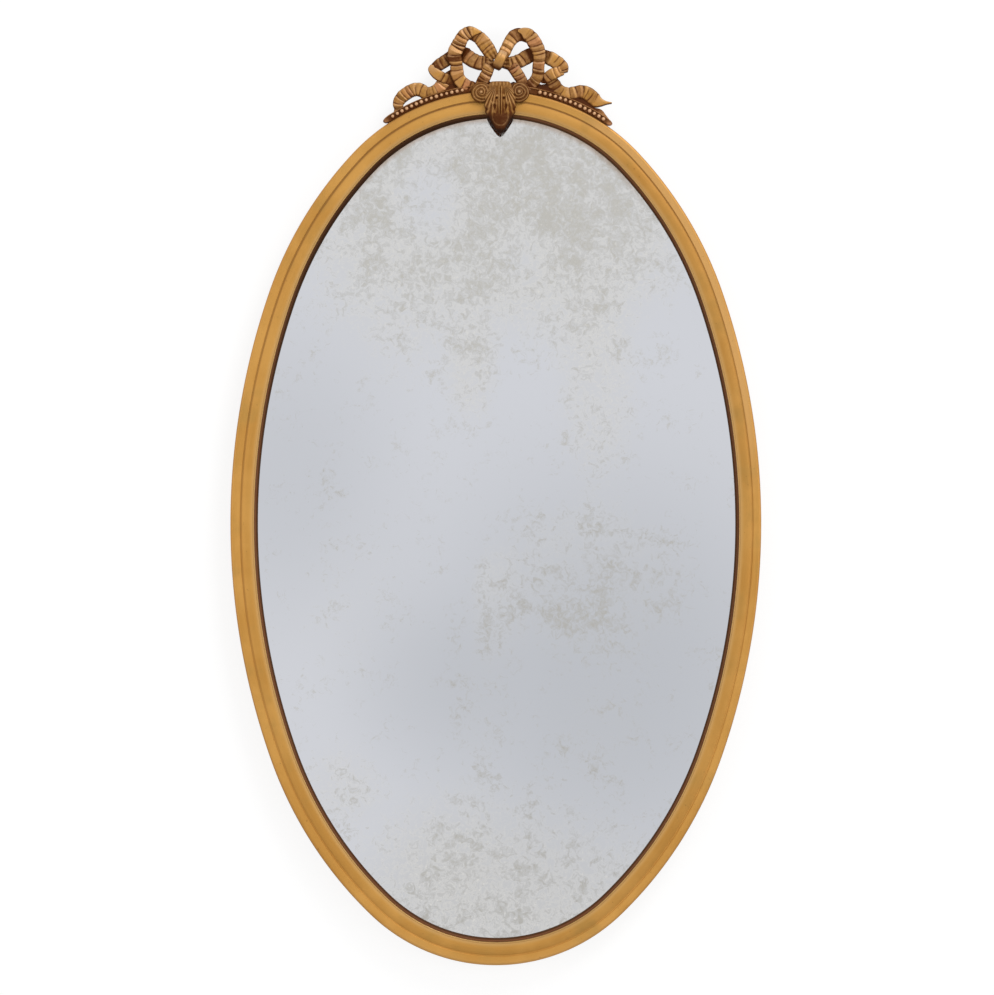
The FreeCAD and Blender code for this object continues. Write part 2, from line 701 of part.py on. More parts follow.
def make_backboards():
    """Three upright boards that fill the rebate behind the felt."""
    blank = oval_plate("board_blank", f"{REBATE_WALL} + Sizes.fit_gap", "0", "Sizes.board_thickness")
    half_width = "Sizes.oval_width / 2"
    joint = "Sizes.middle_board / 2"
    outer_width = f"{half_width} - {joint} - Sizes.fit_gap"
    boards = {
        "backboard_left": (f"-({half_width})", outer_width),
        "backboard_middle": (f"-({joint})", "Sizes.middle_board"),
        "backboard_right": (f"{joint} + Sizes.fit_gap", outer_width),
    }
    made = []
    for label, (left, width) in boards.items():
        plank = DOC.addObject("Part::Box", f"{label}_plank")
        plank.setExpression("Length", width)
        plank.setExpression("Width", "Sizes.board_thickness")
        plank.setExpression("Height", "Sizes.top_rise + Sizes.bottom_drop")
        plank.setExpression("Placement.Base.x", left)
        plank.setExpression("Placement.Base.y", "-Sizes.board_thickness")
        plank.setExpression("Placement.Base.z", "-Sizes.bottom_drop")
        board = DOC.addObject("Part::Common", label)
        board.Base = blank
        board.Tool = plank
        made.append(board)
    return made


def make_glass_shims():
    """Small shims that centre the glass in its rebate."""
    pattern = DOC.addObject("Part::Box", "shim_pattern")
    pattern.setExpression("Length", "Sizes.glass_margin - 2 * Sizes.fit_gap")
    pattern.setExpression("Width", "Sizes.shim_length")
    pattern.setExpression("Height", "Sizes.glass_thickness")
    DOC.recompute()
    inset = measure(f"{REBATE_WALL} + Sizes.fit_gap")
    half_length = size("shim_length") / 2
    lift = -measure(SLIP_FORWARD)
    places = [shifted(rear_place(angle, inset), up=-half_length, out=lift) for angle in SHIM_ANGLES]
    return gather("glass_shims", pattern, places)


# Screws, turn buttons, hangers and bumpers


def screw_pattern(kind):
    """A slotted cheese-head screw, its head on local Z from 0 and its shank below."""
    body = new_body(f"{kind}_screw_pattern")
    length = f"-Sizes.{kind}_screw_length"
    shank = f"Sizes.{kind}_screw_diameter / 2"
    head = f"Sizes.{kind}_screw_head / 2"
    height = f"Sizes.{kind}_screw_head_height"
    profile = new_sketch(body, f"{kind}_screw_profile", placed(Vector(), FORWARD, RIGHT))
    draw_outline(profile, [
        ("0", length), (shank, length), (shank, "0"), (head, "0"),
        (head, f"{height} - Sizes.head_chamfer"), (f"{head} - Sizes.head_chamfer", height), ("0", height),
    ])
    turn = body.newObject("PartDesign::Revolution", f"{kind}_screw_turn")
    turn.Profile = profile
    turn.ReferenceAxis = (profile, ["V_Axis"])
    turn.Angle = FULL_TURN
    head_top = Placement(Vector(0, 0, measure(height)), Rotation())
    slot = new_sketch(body, f"{kind}_screw_slot", head_top)
    draw_box(slot, f"-({head})", "-Sizes.slot_width / 2", head, "Sizes.slot_width / 2")
    pocket(body, slot, "Sizes.slot_depth")
    return body


def make_screws():
    """The three groups of screws, seen from the rear."""
    patterns = {kind: screw_pattern(kind) for kind in ("wood", "pivot", "strap")}
    DOC.recompute()
    labels = {"wood": "back_rail_screws", "pivot": "turn_button_screws", "strap": "hanger_screws"}
    groups = []
    for kind, label in labels.items():
        lift = measure(HEAD_LIFT[kind])
        places = [shifted(place, out=lift) for _, place in screw_places(kind)]
        groups.append(gather(label, patterns[kind], places))
    return groups


def make_turn_button(label, angle):
    """A flat bar with round ends that turns on a screw in the back rail."""
    body = new_body(label, rear_place(angle, BACK_MIDDLE))
    lifted = Placement(Vector(0, 0, size("running_gap")), Rotation())
    sketch = new_sketch(body, f"{label}_outline", lifted)
    half_width = "Sizes.button_width / 2"
    left = f"{half_width} - Sizes.button_tail"
    right = f"Sizes.button_length - Sizes.button_tail - {half_width}"
    tip = "Sizes.button_length - Sizes.button_tail"
    draw_outline(sketch, [
        (left, f"-({half_width})"), (right, f"-({half_width})", half_width), (tip, "0", half_width),
        (right, half_width), (left, half_width, half_width), ("-Sizes.button_tail", "0", half_width),
    ])
    draw_circle(sketch, "Sizes.pivot_screw_diameter / 2 + Sizes.running_clearance")
    pad(body, sketch, "Sizes.button_thickness")
    return body


def make_hanger_strap(side):
    """A strap screwed to the back rail, its upper end folded to an eye for the ring."""
    label = f"hanger_strap_{side}"
    body = new_body(label, HANGERS[side])
    half_width = "Sizes.strap_width / 2"
    plate = new_sketch(body, f"{label}_plate", Placement())
    draw_box(plate, f"-({half_width})", "-Sizes.strap_length", half_width, "Sizes.strap_overrun")
    pad(body, plate, "Sizes.strap_thickness")
    axis = Vector(-size("strap_width") / 2, 0, measure(AXIS_LIFT))
    eye = new_sketch(body, f"{label}_eye", placed(axis, RIGHT, REARWARD))
    draw_circle(eye, "Sizes.ring_wire / 2 + Sizes.running_clearance + Sizes.eye_wall")
    draw_circle(eye, "Sizes.ring_wire / 2 + Sizes.running_clearance")
    pad(body, eye, "Sizes.strap_width")
    for drop in ("upper_screw_drop", "lower_screw_drop"):
        place = Placement(Vector(0, -size(drop), size("strap_thickness")), Rotation())
        diameter = "Sizes.strap_screw_diameter + 2 * Sizes.bore_clearance"
        bore(body, f"{label}_{drop}", place, diameter, "Sizes.strap_thickness")
    return body


def make_hanger_ring(side):
    """A wire ring with a straight bar in the strap's eye and a round bow, hanging down."""
    label = f"hanger_ring_{side}"
    base = shifted(HANGERS[side], out=measure(AXIS_LIFT))
    half = size("ring_half_width")
    pieces = []

    def primitive(kind, name, place, sizes):
        item = DOC.addObject(f"Part::{kind}", f"{label}_{name}")
        item.Placement = base.multiply(place)
        for key, expression in sizes.items():
            item.setExpression(key, expression)
        pieces.append(item)

    wire = {"Radius": "Sizes.ring_wire / 2"}
    bar = placed(Vector(-half, 0, 0), RIGHT, REARWARD)
    primitive("Cylinder", "bar", bar, {**wire, "Height": "2 * Sizes.ring_half_width"})
    for name, across in (("left", -half), ("right", half)):
        corner = Placement(Vector(across, 0, 0), Rotation())
        primitive("Sphere", f"{name}_corner", corner, wire)
        leg = placed(Vector(across, 0, 0), FORWARD, RIGHT)
        primitive("Cylinder", f"{name}_leg", leg, {**wire, "Height": "Sizes.ring_leg"})
    bow = Placement(Vector(0, -size("ring_leg"), 0), Rotation(UP, HALF_TURN))
    bow_sizes = {"Radius1": "Sizes.ring_half_width", "Radius2": "Sizes.ring_wire / 2"}
    primitive("Torus", "bow", bow, {**bow_sizes, "Angle3": str(HALF_TURN)})
    ring = DOC.addObject("Part::MultiFuse", label)
    ring.Shapes = pieces
    return ring


def make_wall_bumpers():
    """Felt bumpers that keep the foot of the mirror off the wall."""
    pattern = DOC.addObject("Part::Cylinder", "bumper_pattern")
    pattern.setExpression("Radius", "Sizes.bumper_diameter / 2")
    pattern.setExpression("Height", "Sizes.bumper_height")
    DOC.recompute()
    return gather("wall_bumpers", pattern, [rear_place(angle, BACK_MIDDLE) for angle in BUMPER_ANGLES])


# Crest


def rail_section(radius):
    """Plain rail on the moulding's upper edge, its upper front edge chamfered."""
    inner = f"{radius} + Sizes.glue_gap"
    outer = f"{radius} + Sizes.rail_rise"
    return [
        (inner, "Sizes.rail_back"),
        (outer, "Sizes.rail_back"),
        (outer, "Sizes.frame_depth - Sizes.rail_chamfer"),
        (f"{outer} - Sizes.rail_chamfer", "Sizes.frame_depth"),
        (inner, "Sizes.frame_depth"),
    ]


def peg_forward():
    """Depth of the crest pegs: the middle of the rail."""
    return measure("(Sizes.rail_back + Sizes.frame_depth) / 2")


def make_crest_rail():
    """The curved rail that carries the ribbon, with bores for its pegs."""
    body = new_body("crest_rail")
    right_end = edge_angle(size("rail_reach_right"))
    left_end = edge_angle(-size("rail_reach_left"))
    revolve_spans(body, right_end, left_end, rail_section)
    for angle in peg_angles():
        under = placed(station(angle, 0, peg_forward()), outward(angle) * -1, FORWARD)
        bore(body, "rail_peg_bore", under, "Sizes.peg_diameter + 2 * Sizes.bore_clearance",
             "Sizes.glue_gap + Sizes.peg_in_rail + Sizes.bore_spare")
    return body


def bore_frame_top(body):
    """Bores in the top length for the crest pegs and the leaf peg."""
    diameter = "Sizes.peg_diameter + 2 * Sizes.bore_clearance"
    depth = "Sizes.peg_in_frame + Sizes.bore_spare"
    for angle in peg_angles():
        place = placed(station(angle, 0, peg_forward()), outward(angle), FORWARD)
        bore(body, "frame_peg_bore", place, diameter, depth)
    leaf = front_place(size("leaf_offset"), -size("leaf_peg_inset"), size("frame_depth"))
    bore(body, "frame_leaf_bore", leaf, diameter, depth)


def make_crest_pegs():
    """Pegs across the glue line between the moulding and the crest rail, and one for the leaf."""
    pattern = DOC.addObject("Part::Cylinder", "peg_pattern")
    pattern.setExpression("Radius", "Sizes.peg_diameter / 2")
    pattern.setExpression("Height", "Sizes.peg_in_frame + Sizes.glue_gap + Sizes.peg_in_rail")
    leaf_peg = DOC.addObject("Part::Cylinder", "leaf_peg")
    leaf_peg.setExpression("Radius", "Sizes.peg_diameter / 2")
    leaf_peg.setExpression("Height", "Sizes.peg_in_frame + Sizes.glue_gap + Sizes.peg_in_leaf")
    sunk = size("frame_depth") - size("peg_in_frame")
    leaf_peg.Placement = front_place(size("leaf_offset"), -size("leaf_peg_inset"), sunk)
    DOC.recompute()
    places = []
    for angle in peg_angles():
        foot = station(angle, size("peg_in_frame"), peg_forward())
        places.append(placed(foot, outward(angle), FORWARD))
    return [gather("crest_pegs", pattern, places), leaf_peg]


def bead_row(label, pattern, first, last):
    """Half-round beads a pitch apart along the front of the crest rail."""
    rise = size("bead_rise")
    angle = edge_angle(first)
    end = edge_angle(last)
    heading = math.copysign(1, end - angle)
    places = []
    while (end - angle) * heading > 0:
        seat = station(angle, -rise, size("frame_depth"))
        places.append(placed(seat, FORWARD, RIGHT))
        angle += heading * math.degrees(size("bead_pitch") / (arc_at(angle).radius + rise))
    return gather(label, pattern, places)


def make_bead_rows():
    """The bead rows left and right of the leaf."""
    pattern = DOC.addObject("Part::Sphere", "bead_pattern")
    pattern.setExpression("Radius", "Sizes.bead_diameter / 2")
    pattern.Angle1 = 0
    DOC.recompute()
    margin = size("bead_end_margin")
    left_end = margin - size("rail_reach_left")
    right_end = size("rail_reach_right") - margin
    return [
        bead_row("bead_row_left", pattern, -size("bead_first_left"), left_end),
        bead_row("bead_row_right", pattern, size("bead_first_right"), right_end),
    ]


def leaf_face():
    """Place of the leaf's rear face, at the moulding's edge."""
    return front_place(size("leaf_offset"), 0, measure(CARVING_FORWARD))


def draw_leaf(sketch, margin):
    """The leaf's outline with a margin all round: a short top edge and two arcs to the tip."""
    half_top = f"(Sizes.leaf_top_width / 2 + {margin})"
    top = f"Sizes.leaf_rise + {margin}"
    side = f"Sizes.leaf_side_radius + {margin}"
    draw_outline(sketch, [
        ("0", f"-Sizes.leaf_drop - {margin}", side), (half_top, top), (f"-{half_top}", top, side),
    ])


def make_leaf():
    """Pointed leaf over the rail and the moulding, with a raised midrib and a peg bore."""
    body = new_body("acanthus_leaf")
    outline = new_sketch(body, "leaf_outline", leaf_face())
    draw_leaf(outline, "0")
    pad(body, outline, "Sizes.leaf_thickness")
    rib = new_sketch(body, "leaf_rib", leaf_face())
    half_rib = "Sizes.leaf_rib_width / 2"
    draw_box(rib, f"-({half_rib})", "2 * Sizes.leaf_rib_margin - Sizes.leaf_drop",
             half_rib, "Sizes.leaf_rise - Sizes.leaf_rib_margin")
    pad(body, rib, "Sizes.leaf_rib_depth")
    back = above_edge(size("leaf_offset"), -size("leaf_peg_inset"), measure(CARVING_FORWARD))
    bore(body, "leaf_peg_bore", placed(back, REARWARD, RIGHT),
         "Sizes.peg_diameter + 2 * Sizes.bore_clearance", "Sizes.peg_in_leaf + Sizes.bore_spare")
    return body


def make_scrolls():
    """Round scrolls with raised eyes beside the leaf, cut back where the leaf overlaps them."""
    leaf_room = new_body("leaf_room")
    room_outline = new_sketch(leaf_room, "leaf_room_outline", leaf_face())
    draw_leaf(room_outline, "Sizes.fit_gap")
    pad(leaf_room, room_outline, "2 * Sizes.scroll_eye_depth")
    made = []
    for label, (across, rise) in SCROLL_PLACES.items():
        body = new_body(f"{label}_blank")
        face = front_place(across, rise, measure(CARVING_FORWARD))
        disc = new_sketch(body, f"{label}_disc", face)
        draw_circle(disc, "Sizes.scroll_radius")
        pad(body, disc, "Sizes.scroll_depth")
        eye = new_sketch(body, f"{label}_eye", face)
        draw_circle(eye, "Sizes.scroll_eye_radius")
        pad(body, eye, "Sizes.scroll_eye_depth")
        scroll = DOC.addObject("Part::Cut", label)
        scroll.Base = body
        scroll.Tool = leaf_room
        made.append(scroll)
    return made


def rounded_runs(route):
    """Straight runs and tangent arcs through a route, as (start, end, centre or None) in the plane.

    Each arc takes the same share of the shorter of its two runs.
    """
    points = [above_edge(across, rise) for across, rise in route]
    pieces = []
    here = points[0]
    for before, corner, after in zip(points, points[1:], points[2:]):
        into = (corner - before).normalize()
        out = (after - corner).normalize()
        turn = math.acos(max(-1, min(1, into.dot(out))))
        setback = BEND_SHARE * min((corner - before).Length, (after - corner).Length)
        start = corner - into * setback
        end = corner + out * setback
        radius = setback / math.tan(turn / 2)
        side = math.copysign(1, into.cross(out).dot(FORWARD))
        pieces.append((here, start, None))
        pieces.append((start, end, start + FORWARD.cross(into) * side * radius))
        here = end
    pieces.append((here, points[-1], None))
    return pieces


def ribbon_edge(start, end, centre, aside):
    """One edge of a ribbon beside a run or an arc of its centre line."""
    if centre is None:
        step = FORWARD.cross((end - start).normalize()) * aside
        return Part.LineSegment(start + step, end + step).toShape()
    middle = (start + end) / 2 - centre
    inward = math.copysign(1, FORWARD.cross(end - start).dot(centre - start))
    radius = (start - centre).Length - aside * inward
    if radius <= 0:
        raise ValueError("a ribbon is too wide for its bend")
    spokes = (start - centre, middle, end - centre)
    return Part.Arc(*[centre + spoke.normalize() * radius for spoke in spokes]).toShape()


def ribbon_strip(label, route, width, forward):
    """A flat strip of ribbon of even width along a route, one layer deep."""
    half = measure(width) / 2
    runs = rounded_runs(route)
    left = [ribbon_edge(start, end, centre, half) for start, end, centre in runs]
    right = [ribbon_edge(start, end, centre, -half) for start, end, centre in runs]
    caps = []
    for index in (0, -1):
        ends = [edges[index].Vertexes[index].Point for edges in (left, right)]
        caps.append(Part.LineSegment(*ends).toShape())
    outline = DOC.addObject("Part::Feature", f"{label}_outline")
    wire = Part.Wire(Part.__sortEdges__(left + right + caps))
    wire.translate(FORWARD * measure(forward))
    outline.Shape = wire
    strip = DOC.addObject("Part::Extrusion", f"{label}_strip")
    strip.Base = outline
    strip.DirMode = "Custom"
    strip.Dir = FORWARD
    strip.Solid = True
    strip.setExpression("LengthFwd", "Sizes.ribbon_depth - Sizes.glue_gap")
    return strip


def make_ribbons():
    """The bow: each strip is trimmed where it stands on the crest rail."""
    seat = oval_plate("rail_top", "-Sizes.rail_rise - Sizes.glue_gap", "0", "2 * Sizes.frame_depth")
    back = "Sizes.rail_back"
    strips = {
        "ribbon_loop_left": (LOOP_LEFT, "Sizes.loop_width", FRONT_RIBBON),
        "ribbon_loop_right": (LOOP_RIGHT, "Sizes.loop_width", FRONT_RIBBON),
        "ribbon_strand_left": (STRAND_LEFT, "Sizes.strand_width", back),
        "ribbon_strand_right": (STRAND_RIGHT, "Sizes.strand_width", back),
        "ribbon_fold_left": (FOLD_LEFT, "Sizes.tail_width", FRONT_RIBBON),
        "ribbon_fold_right": (FOLD_RIGHT, "Sizes.tail_width", FRONT_RIBBON),
        "ribbon_tail_left": (TAIL_LEFT, "Sizes.tail_width", back),
        "ribbon_tail_right": (TAIL_RIGHT, "Sizes.tail_width", back),
        "ribbon_stem_left": (STEM_LEFT, "Sizes.stem_width", FRONT_RIBBON),
        "ribbon_stem_right": (STEM_RIGHT, "Sizes.stem_width", FRONT_RIBBON),
    }
    made = []
    for label, (route, width, forward) in strips.items():
        ribbon = DOC.addObject("Part::Cut", label)
        ribbon.Base = ribbon_strip(label, route, width, forward)
        ribbon.Tool = seat
        made.append(ribbon)
    return made


def make_knot():
    """The short wrap over the middle of the bow."""
    body = new_body("ribbon_knot")
    forward = measure(f"{FRONT_RIBBON} + Sizes.ribbon_depth")
    upright = front_place(size("knot_offset"), size("knot_rise"), forward)
    leaning = upright.multiply(Placement(Vector(), Rotation(UP, -size("knot_lean"))))
    sketch = new_sketch(body, "knot_outline", leaning)
    half_width = "Sizes.knot_width / 2"
    straight = f"(Sizes.knot_length / 2 - {half_width})"
    draw_outline(sketch, [
        (half_width, f"-{straight}"), (half_width, straight, half_width),
        ("0", "Sizes.knot_length / 2", half_width), (f"-({half_width})", straight),
        (f"-({half_width})", f"-{straight}", half_width), ("0", "-Sizes.knot_length / 2", half_width),
    ])
    pad(body, sketch, "Sizes.knot_depth")
    return body


# The whole mirror


def make_mirror():
    """Every sub-part, in the order in which a bench would put it together."""
    parts = [make_frame_length(label, stretch) for label, stretch in FRAME_LENGTHS.items()]
    bore_frame_top(parts[0])
    parts += [make_back_length(label, stretch) for label, stretch in BACK_LENGTHS.items()]
    parts += [make_joint_dowels(), make_sight_slip()]
    parts.append(oval_plate("mirror_plate", GLASS_INSET, GLASS_FORWARD, "Sizes.glass_thickness"))
    parts.append(oval_plate("backing_felt", GLASS_INSET, FELT_FORWARD, "Sizes.felt_thickness"))
    parts.append(make_glass_shims())
    parts += make_backboards()
    parts += [make_turn_button(label, angle) for label, angle in BUTTON_ANGLES.items()]
    for side in HANGERS:
        parts += [make_hanger_strap(side), make_hanger_ring(side)]
    parts += make_screws()
    parts.append(make_wall_bumpers())
    parts.append(make_crest_rail())
    parts += make_crest_pegs()
    parts += make_bead_rows()
    parts.append(make_leaf())
    parts += make_scrolls()
    parts += make_ribbons()
    parts.append(make_knot())
    DOC.recompute()
    return parts


def check(parts):
    """Stop if any feature failed, any cut missed or any sub-part is not a sound solid."""
    for item in DOC.Objects:
        if "Invalid" in item.State or "Error" in item.State:
            raise RuntimeError(f"{item.Label} failed: {item.State}")
        if item.TypeId == "PartDesign::Pocket":
            removed = item.BaseFeature.Shape.Volume - item.Shape.Volume
            if removed < LEAST_CUT:
                raise RuntimeError(f"{item.Label} cut nothing")
    for part in parts:
        if part.Shape.isNull() or not part.Shape.isValid() or not part.Shape.Solids:
            raise RuntimeError(f"{part.Label} is not a sound solid")


def report_joints():
    """Print the axis of each turning piece, in millimetres."""
    for label, angle in BUTTON_ANGLES.items():
        print(label, "pivot", tuple(round(value, 3) for value in station(angle, BACK_MIDDLE)))
    for side, place in HANGERS.items():
        middle = place.multVec(Vector(0, 0, measure(AXIS_LIFT)))
        axis = place.Rotation.multVec(RIGHT * -1)
        print("hanger_ring_" + side, "axis through", tuple(round(value, 3) for value in middle),
              "along", tuple(round(value, 6) for value in axis))


def write_parts(parts):
    """One file for each sub-part, under its own name."""
    os.makedirs("parts", exist_ok=True)
    for part in parts:
        part.Shape.exportStep(f"parts/{part.Label}.step")


PARTS = make_mirror()
check(PARTS)
report_joints()
write_parts(PARTS)
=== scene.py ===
"""Finished looks of an oval wall mirror: a gilded moulding, aged silvering and a carved ribbon crest.

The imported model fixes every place. Here the visible pieces are shaped as smooth surfaces on those
places, every piece gets its finish, and the stage is set for the camera.
+X is to the right as the mirror is looked at, +Z is up and the glass faces -Y.
"Inset" runs inwards from the moulding's outer edge, "forward" runs from the rear plane to the viewer.
"""

import math

import bpy
import numpy as np
from bpy.props import FloatProperty, FloatVectorProperty, IntProperty, PointerProperty
from bpy.types import Operator, Panel, PropertyGroup
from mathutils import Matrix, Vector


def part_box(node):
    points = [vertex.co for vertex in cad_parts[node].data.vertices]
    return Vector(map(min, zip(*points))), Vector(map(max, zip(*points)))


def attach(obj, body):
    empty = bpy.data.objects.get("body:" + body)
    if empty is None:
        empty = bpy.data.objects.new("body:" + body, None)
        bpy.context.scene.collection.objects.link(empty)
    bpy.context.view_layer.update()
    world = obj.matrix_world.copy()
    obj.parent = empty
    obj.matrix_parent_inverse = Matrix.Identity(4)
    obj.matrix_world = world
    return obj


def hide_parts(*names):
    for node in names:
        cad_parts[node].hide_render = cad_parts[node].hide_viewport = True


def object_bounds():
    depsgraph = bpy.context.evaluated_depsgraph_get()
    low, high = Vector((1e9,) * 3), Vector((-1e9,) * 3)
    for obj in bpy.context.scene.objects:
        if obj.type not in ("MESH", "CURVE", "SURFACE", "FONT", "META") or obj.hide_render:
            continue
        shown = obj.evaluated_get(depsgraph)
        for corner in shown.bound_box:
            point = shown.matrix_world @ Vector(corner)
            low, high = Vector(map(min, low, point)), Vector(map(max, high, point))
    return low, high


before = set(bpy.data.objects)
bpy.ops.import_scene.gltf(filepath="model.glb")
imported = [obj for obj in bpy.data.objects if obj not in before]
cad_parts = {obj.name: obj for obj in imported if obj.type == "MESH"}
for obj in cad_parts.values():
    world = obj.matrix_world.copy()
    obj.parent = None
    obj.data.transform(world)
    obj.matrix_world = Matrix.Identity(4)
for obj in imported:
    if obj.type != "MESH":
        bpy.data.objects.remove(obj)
CAD_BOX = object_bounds()

bl_info = {
    "name": "Oval mirror",
    "version": (1, 0, 0),
    "blender": (4, 5, 0),
    "location": "View3D > Sidebar > Oval mirror",
    "description": "Shapes and finishes the pieces of a gilded oval mirror with a ribbon crest",
    "category": "Add Mesh",
}

MM = 0.001
BODY = "mirror"
HALF_TURN = 180
FULL_TURN = 360
IMAGE_SIZE = (994, 995)
SENSOR = 36

# Degrees of the oval's side arc, degrees where its shoulder ends, and the shoulder's radius as a share
# of the mean of the side's and the end's.
UPPER_TURNS = (19.08, 43.43, 0.8543)
LOWER_TURNS = (19.46, 46.14, 0.9006)

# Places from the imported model, in metres.
HALF_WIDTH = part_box("frame_right")[1].x
TOP_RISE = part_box("frame_top")[1].z
BOTTOM_DROP = -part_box("frame_bottom")[0].z
RAIL_LEFT, RAIL_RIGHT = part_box("crest_rail")[0].x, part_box("crest_rail")[1].x
LEAF_LOW, LEAF_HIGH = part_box("acanthus_leaf")
REAR_WALL = CAD_BOX[1][1]

# Normal angles of the joints between the four lengths of moulding.
MOULDING_LENGTHS = {
    "frame_top": (31.26, 148.74),
    "frame_left": (148.74, 212.8),
    "frame_bottom": (212.8, 327.2),
    "frame_right": (327.2, 391.26),
}
# Normal angles, in degrees, of the middles of stretches with painted light or shade.
UPPER_RIGHT = 33
RIGHT_SIDE = 10
UPPER_LEFT = 128
FOOT = 270

# The moulding's section in millimetres: (inset, forward) of each stroke's end, its bow and its steps.
MOULDING_START = (0, 10)
MOULDING_STROKES = [
    ((0, 25), 0, 3),
    ((3, 28), 0.88, 6),
    ((10.2, 26.4), 0.15, 6),
    ((11.3, 25.7), 0.25, 4),
    ((11.9, 25.1), 0, 2),
    ((13, 25.1), -0.05, 3),
    ((13.5, 25.4), 0, 2),
    ((27.1, 24.7), 1.0, 16),
    ((27.5, 24.2), 0, 2),
    ((29, 23.4), 0.5, 5),
    ((29, 17), 0, 3),
    ((22, 17), 0, 2),
    ((22, 10), 0, 2),
    ((0, 10), 0, 4),
]
GROOVE_INSET = 12.4
SIGHT_INSET = 33.3
SLIP_START = (22.3, 13)
SLIP_STROKES = [
    ((22.3, 17), 0, 2),
    ((29.6, 17), 0, 2),
    ((32.8, 15.2), 0.25, 6),
    ((SIGHT_INSET, 14.4), 0.2, 3),
    ((SIGHT_INSET, 13), 0, 2),
    ((22.3, 13), 0, 3),
]
# Faces of the moulding further back than this aren't seen from the front, in millimetres.
HIDDEN_LEVEL = 20
# In metres: how far the sight edge lies right of the outer edge's middle, and the insets between which
# that drift sets in.
SIGHT_DRIFT = 1 * MM
DRIFT_INSETS = (1 * MM, 12 * MM)

# The crest rail's section: (rise above the edge, forward), millimetres.
RAIL_START = (0.1, 12)
RAIL_STROKES = [
    ((0.1, 26.6), 0, 4),
    ((0.9, 27.2), 0.2, 3),
    ((1.5, 26.4), 0, 2),
    ((6.7, 26.4), -0.3, 5),
    ((7.0, 27.4), -0.1, 3),
    ((8.4, 27.0), 0.5, 4),
    ((8.6, 22), 0, 4),
]
# Metres: forward of the web's face and of the back, heights of the crown and the foot, the level and the
# length of the drawn-in ends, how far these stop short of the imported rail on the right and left.
RAIL_WEB, RAIL_BACK = 21.5 * MM, 12 * MM
RAIL_CROWN, RAIL_FOOT = 8.7 * MM, 0.1 * MM
RAIL_MIDDLE, RAIL_NOSE = 6 * MM, 12 * MM
RAIL_SHORT_RIGHT, RAIL_SHORT_LEFT = 5 * MM, 3.5 * MM
RAIL_STEP = 1.2 * MM
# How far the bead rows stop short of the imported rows, and how far forward the beads' middles lie.
BEAD_INNER, BEAD_OUTER = 2.7 * MM, 6 * MM
BEAD_LEVEL = 28 * MM

# Stations of the ribbon, in millimetres: right of the centre line, above the moulding's edge, width,
# forward of the front face, and the share of painted shade on it, high where it runs under other strips.
LOOP_LEFT_INNER = [
    (-1, 41, 12, 24, 0.4), (-6, 48, 15.5, 25, 0.15), (-10.2, 54.8, 16.5, 25.5, 0.05),
    (-14.5, 61, 16.5, 25.5, 0.05), (-19.5, 67.5, 15.5, 25, 0.1), (-25, 72, 15, 24, 0.35),
    (-31.5, 74.5, 13, 22.5, 0.85), (-37, 75, 10, 21.5, 1),
]
LOOP_LEFT_OUTER = [
    (-18, 75.5, 1.5, 24.5, 0), (-23.5, 76.5, 7, 26, 0), (-30, 77, 12.5, 27.5, 0), (-36, 76, 14.5, 28, 0),
    (-41.7, 72, 14.7, 28, 0), (-44.5, 67.2, 15.5, 28, 0), (-47.4, 62.2, 16.5, 27.5, 0),
    (-50.6, 57, 16.5, 27.5, 0), (-52.7, 51.5, 15.5, 27.5, 0.05), (-51.5, 45, 15.5, 26.5, 0.35),
    (-49.8, 38.5, 14.5, 26.5, 0.05), (-49.3, 31.5, 15, 26.5, 0.1), (-48.3, 24.5, 15, 26.5, 0.05),
    (-45.8, 18.5, 14.5, 26.5, 0.1), (-41.5, 12.8, 14.5, 27, 0.1), (-35.5, 9, 13.5, 26.5, 0.2),
    (-29, 6.5, 12, 26, 0.4), (-22, 4, 10, 25, 0.6),
]
LOOP_RIGHT_INNER = [
    (6.5, 41, 11, 24, 0.4), (12, 49.5, 13.5, 25.5, 0.1), (16, 58, 13.5, 25.5, 0.05),
    (19.8, 65, 14.5, 25, 0.1), (24.3, 70.5, 15.5, 24.5, 0.32), (30, 73.7, 15.5, 23.5, 0.7),
    (36.5, 73.5, 14, 22.5, 1), (43, 70.5, 11, 21.5, 1),
]
LOOP_RIGHT_OUTER = [
    (29, 78, 3, 24.5, 0), (34.5, 78.3, 8.5, 26, 0), (40.5, 76, 14, 27.5, 0), (46, 72, 15.5, 28, 0),
    (49.6, 67, 16, 28, 0), (52.6, 62.5, 16, 27.5, 0), (55.2, 57.3, 15.5, 27.5, 0), (56.4, 51, 14.3, 27, 0.05),
    (56, 43.5, 13.5, 26.5, 0.1), (55.2, 36.5, 14, 26.5, 0.15), (55, 29, 14, 26.5, 0.25),
    (53.3, 22.5, 13.5, 26.5, 0.3), (50, 16.8, 13, 26.5, 0.3), (45.5, 11.5, 12.5, 26.5, 0.35),
    (40, 7.5, 11.5, 26, 0.5), (34, 4, 10, 25, 0.6),
]
STRAND_LEFT = [
    (-2, 35.5, 11, 22, 0.6), (-12.5, 36, 15.5, 24, 0.2), (-21, 37.3, 16.5, 24, 0.1),
    (-29, 41.3, 16.5, 23, 0.1),
    (-35.5, 46.5, 17, 22, 0.35), (-41.5, 51.5, 17, 20, 0.9), (-50, 53, 16, 19, 1),
    (-58, 49.5, 15, 20, 0.6), (-64.5, 47, 14, 22, 0.2), (-71, 44.5, 13.5, 23, 0.3),
    (-77, 42.5, 11.5, 22, 0.8), (-81, 40.5, 8, 20, 0.9),
]
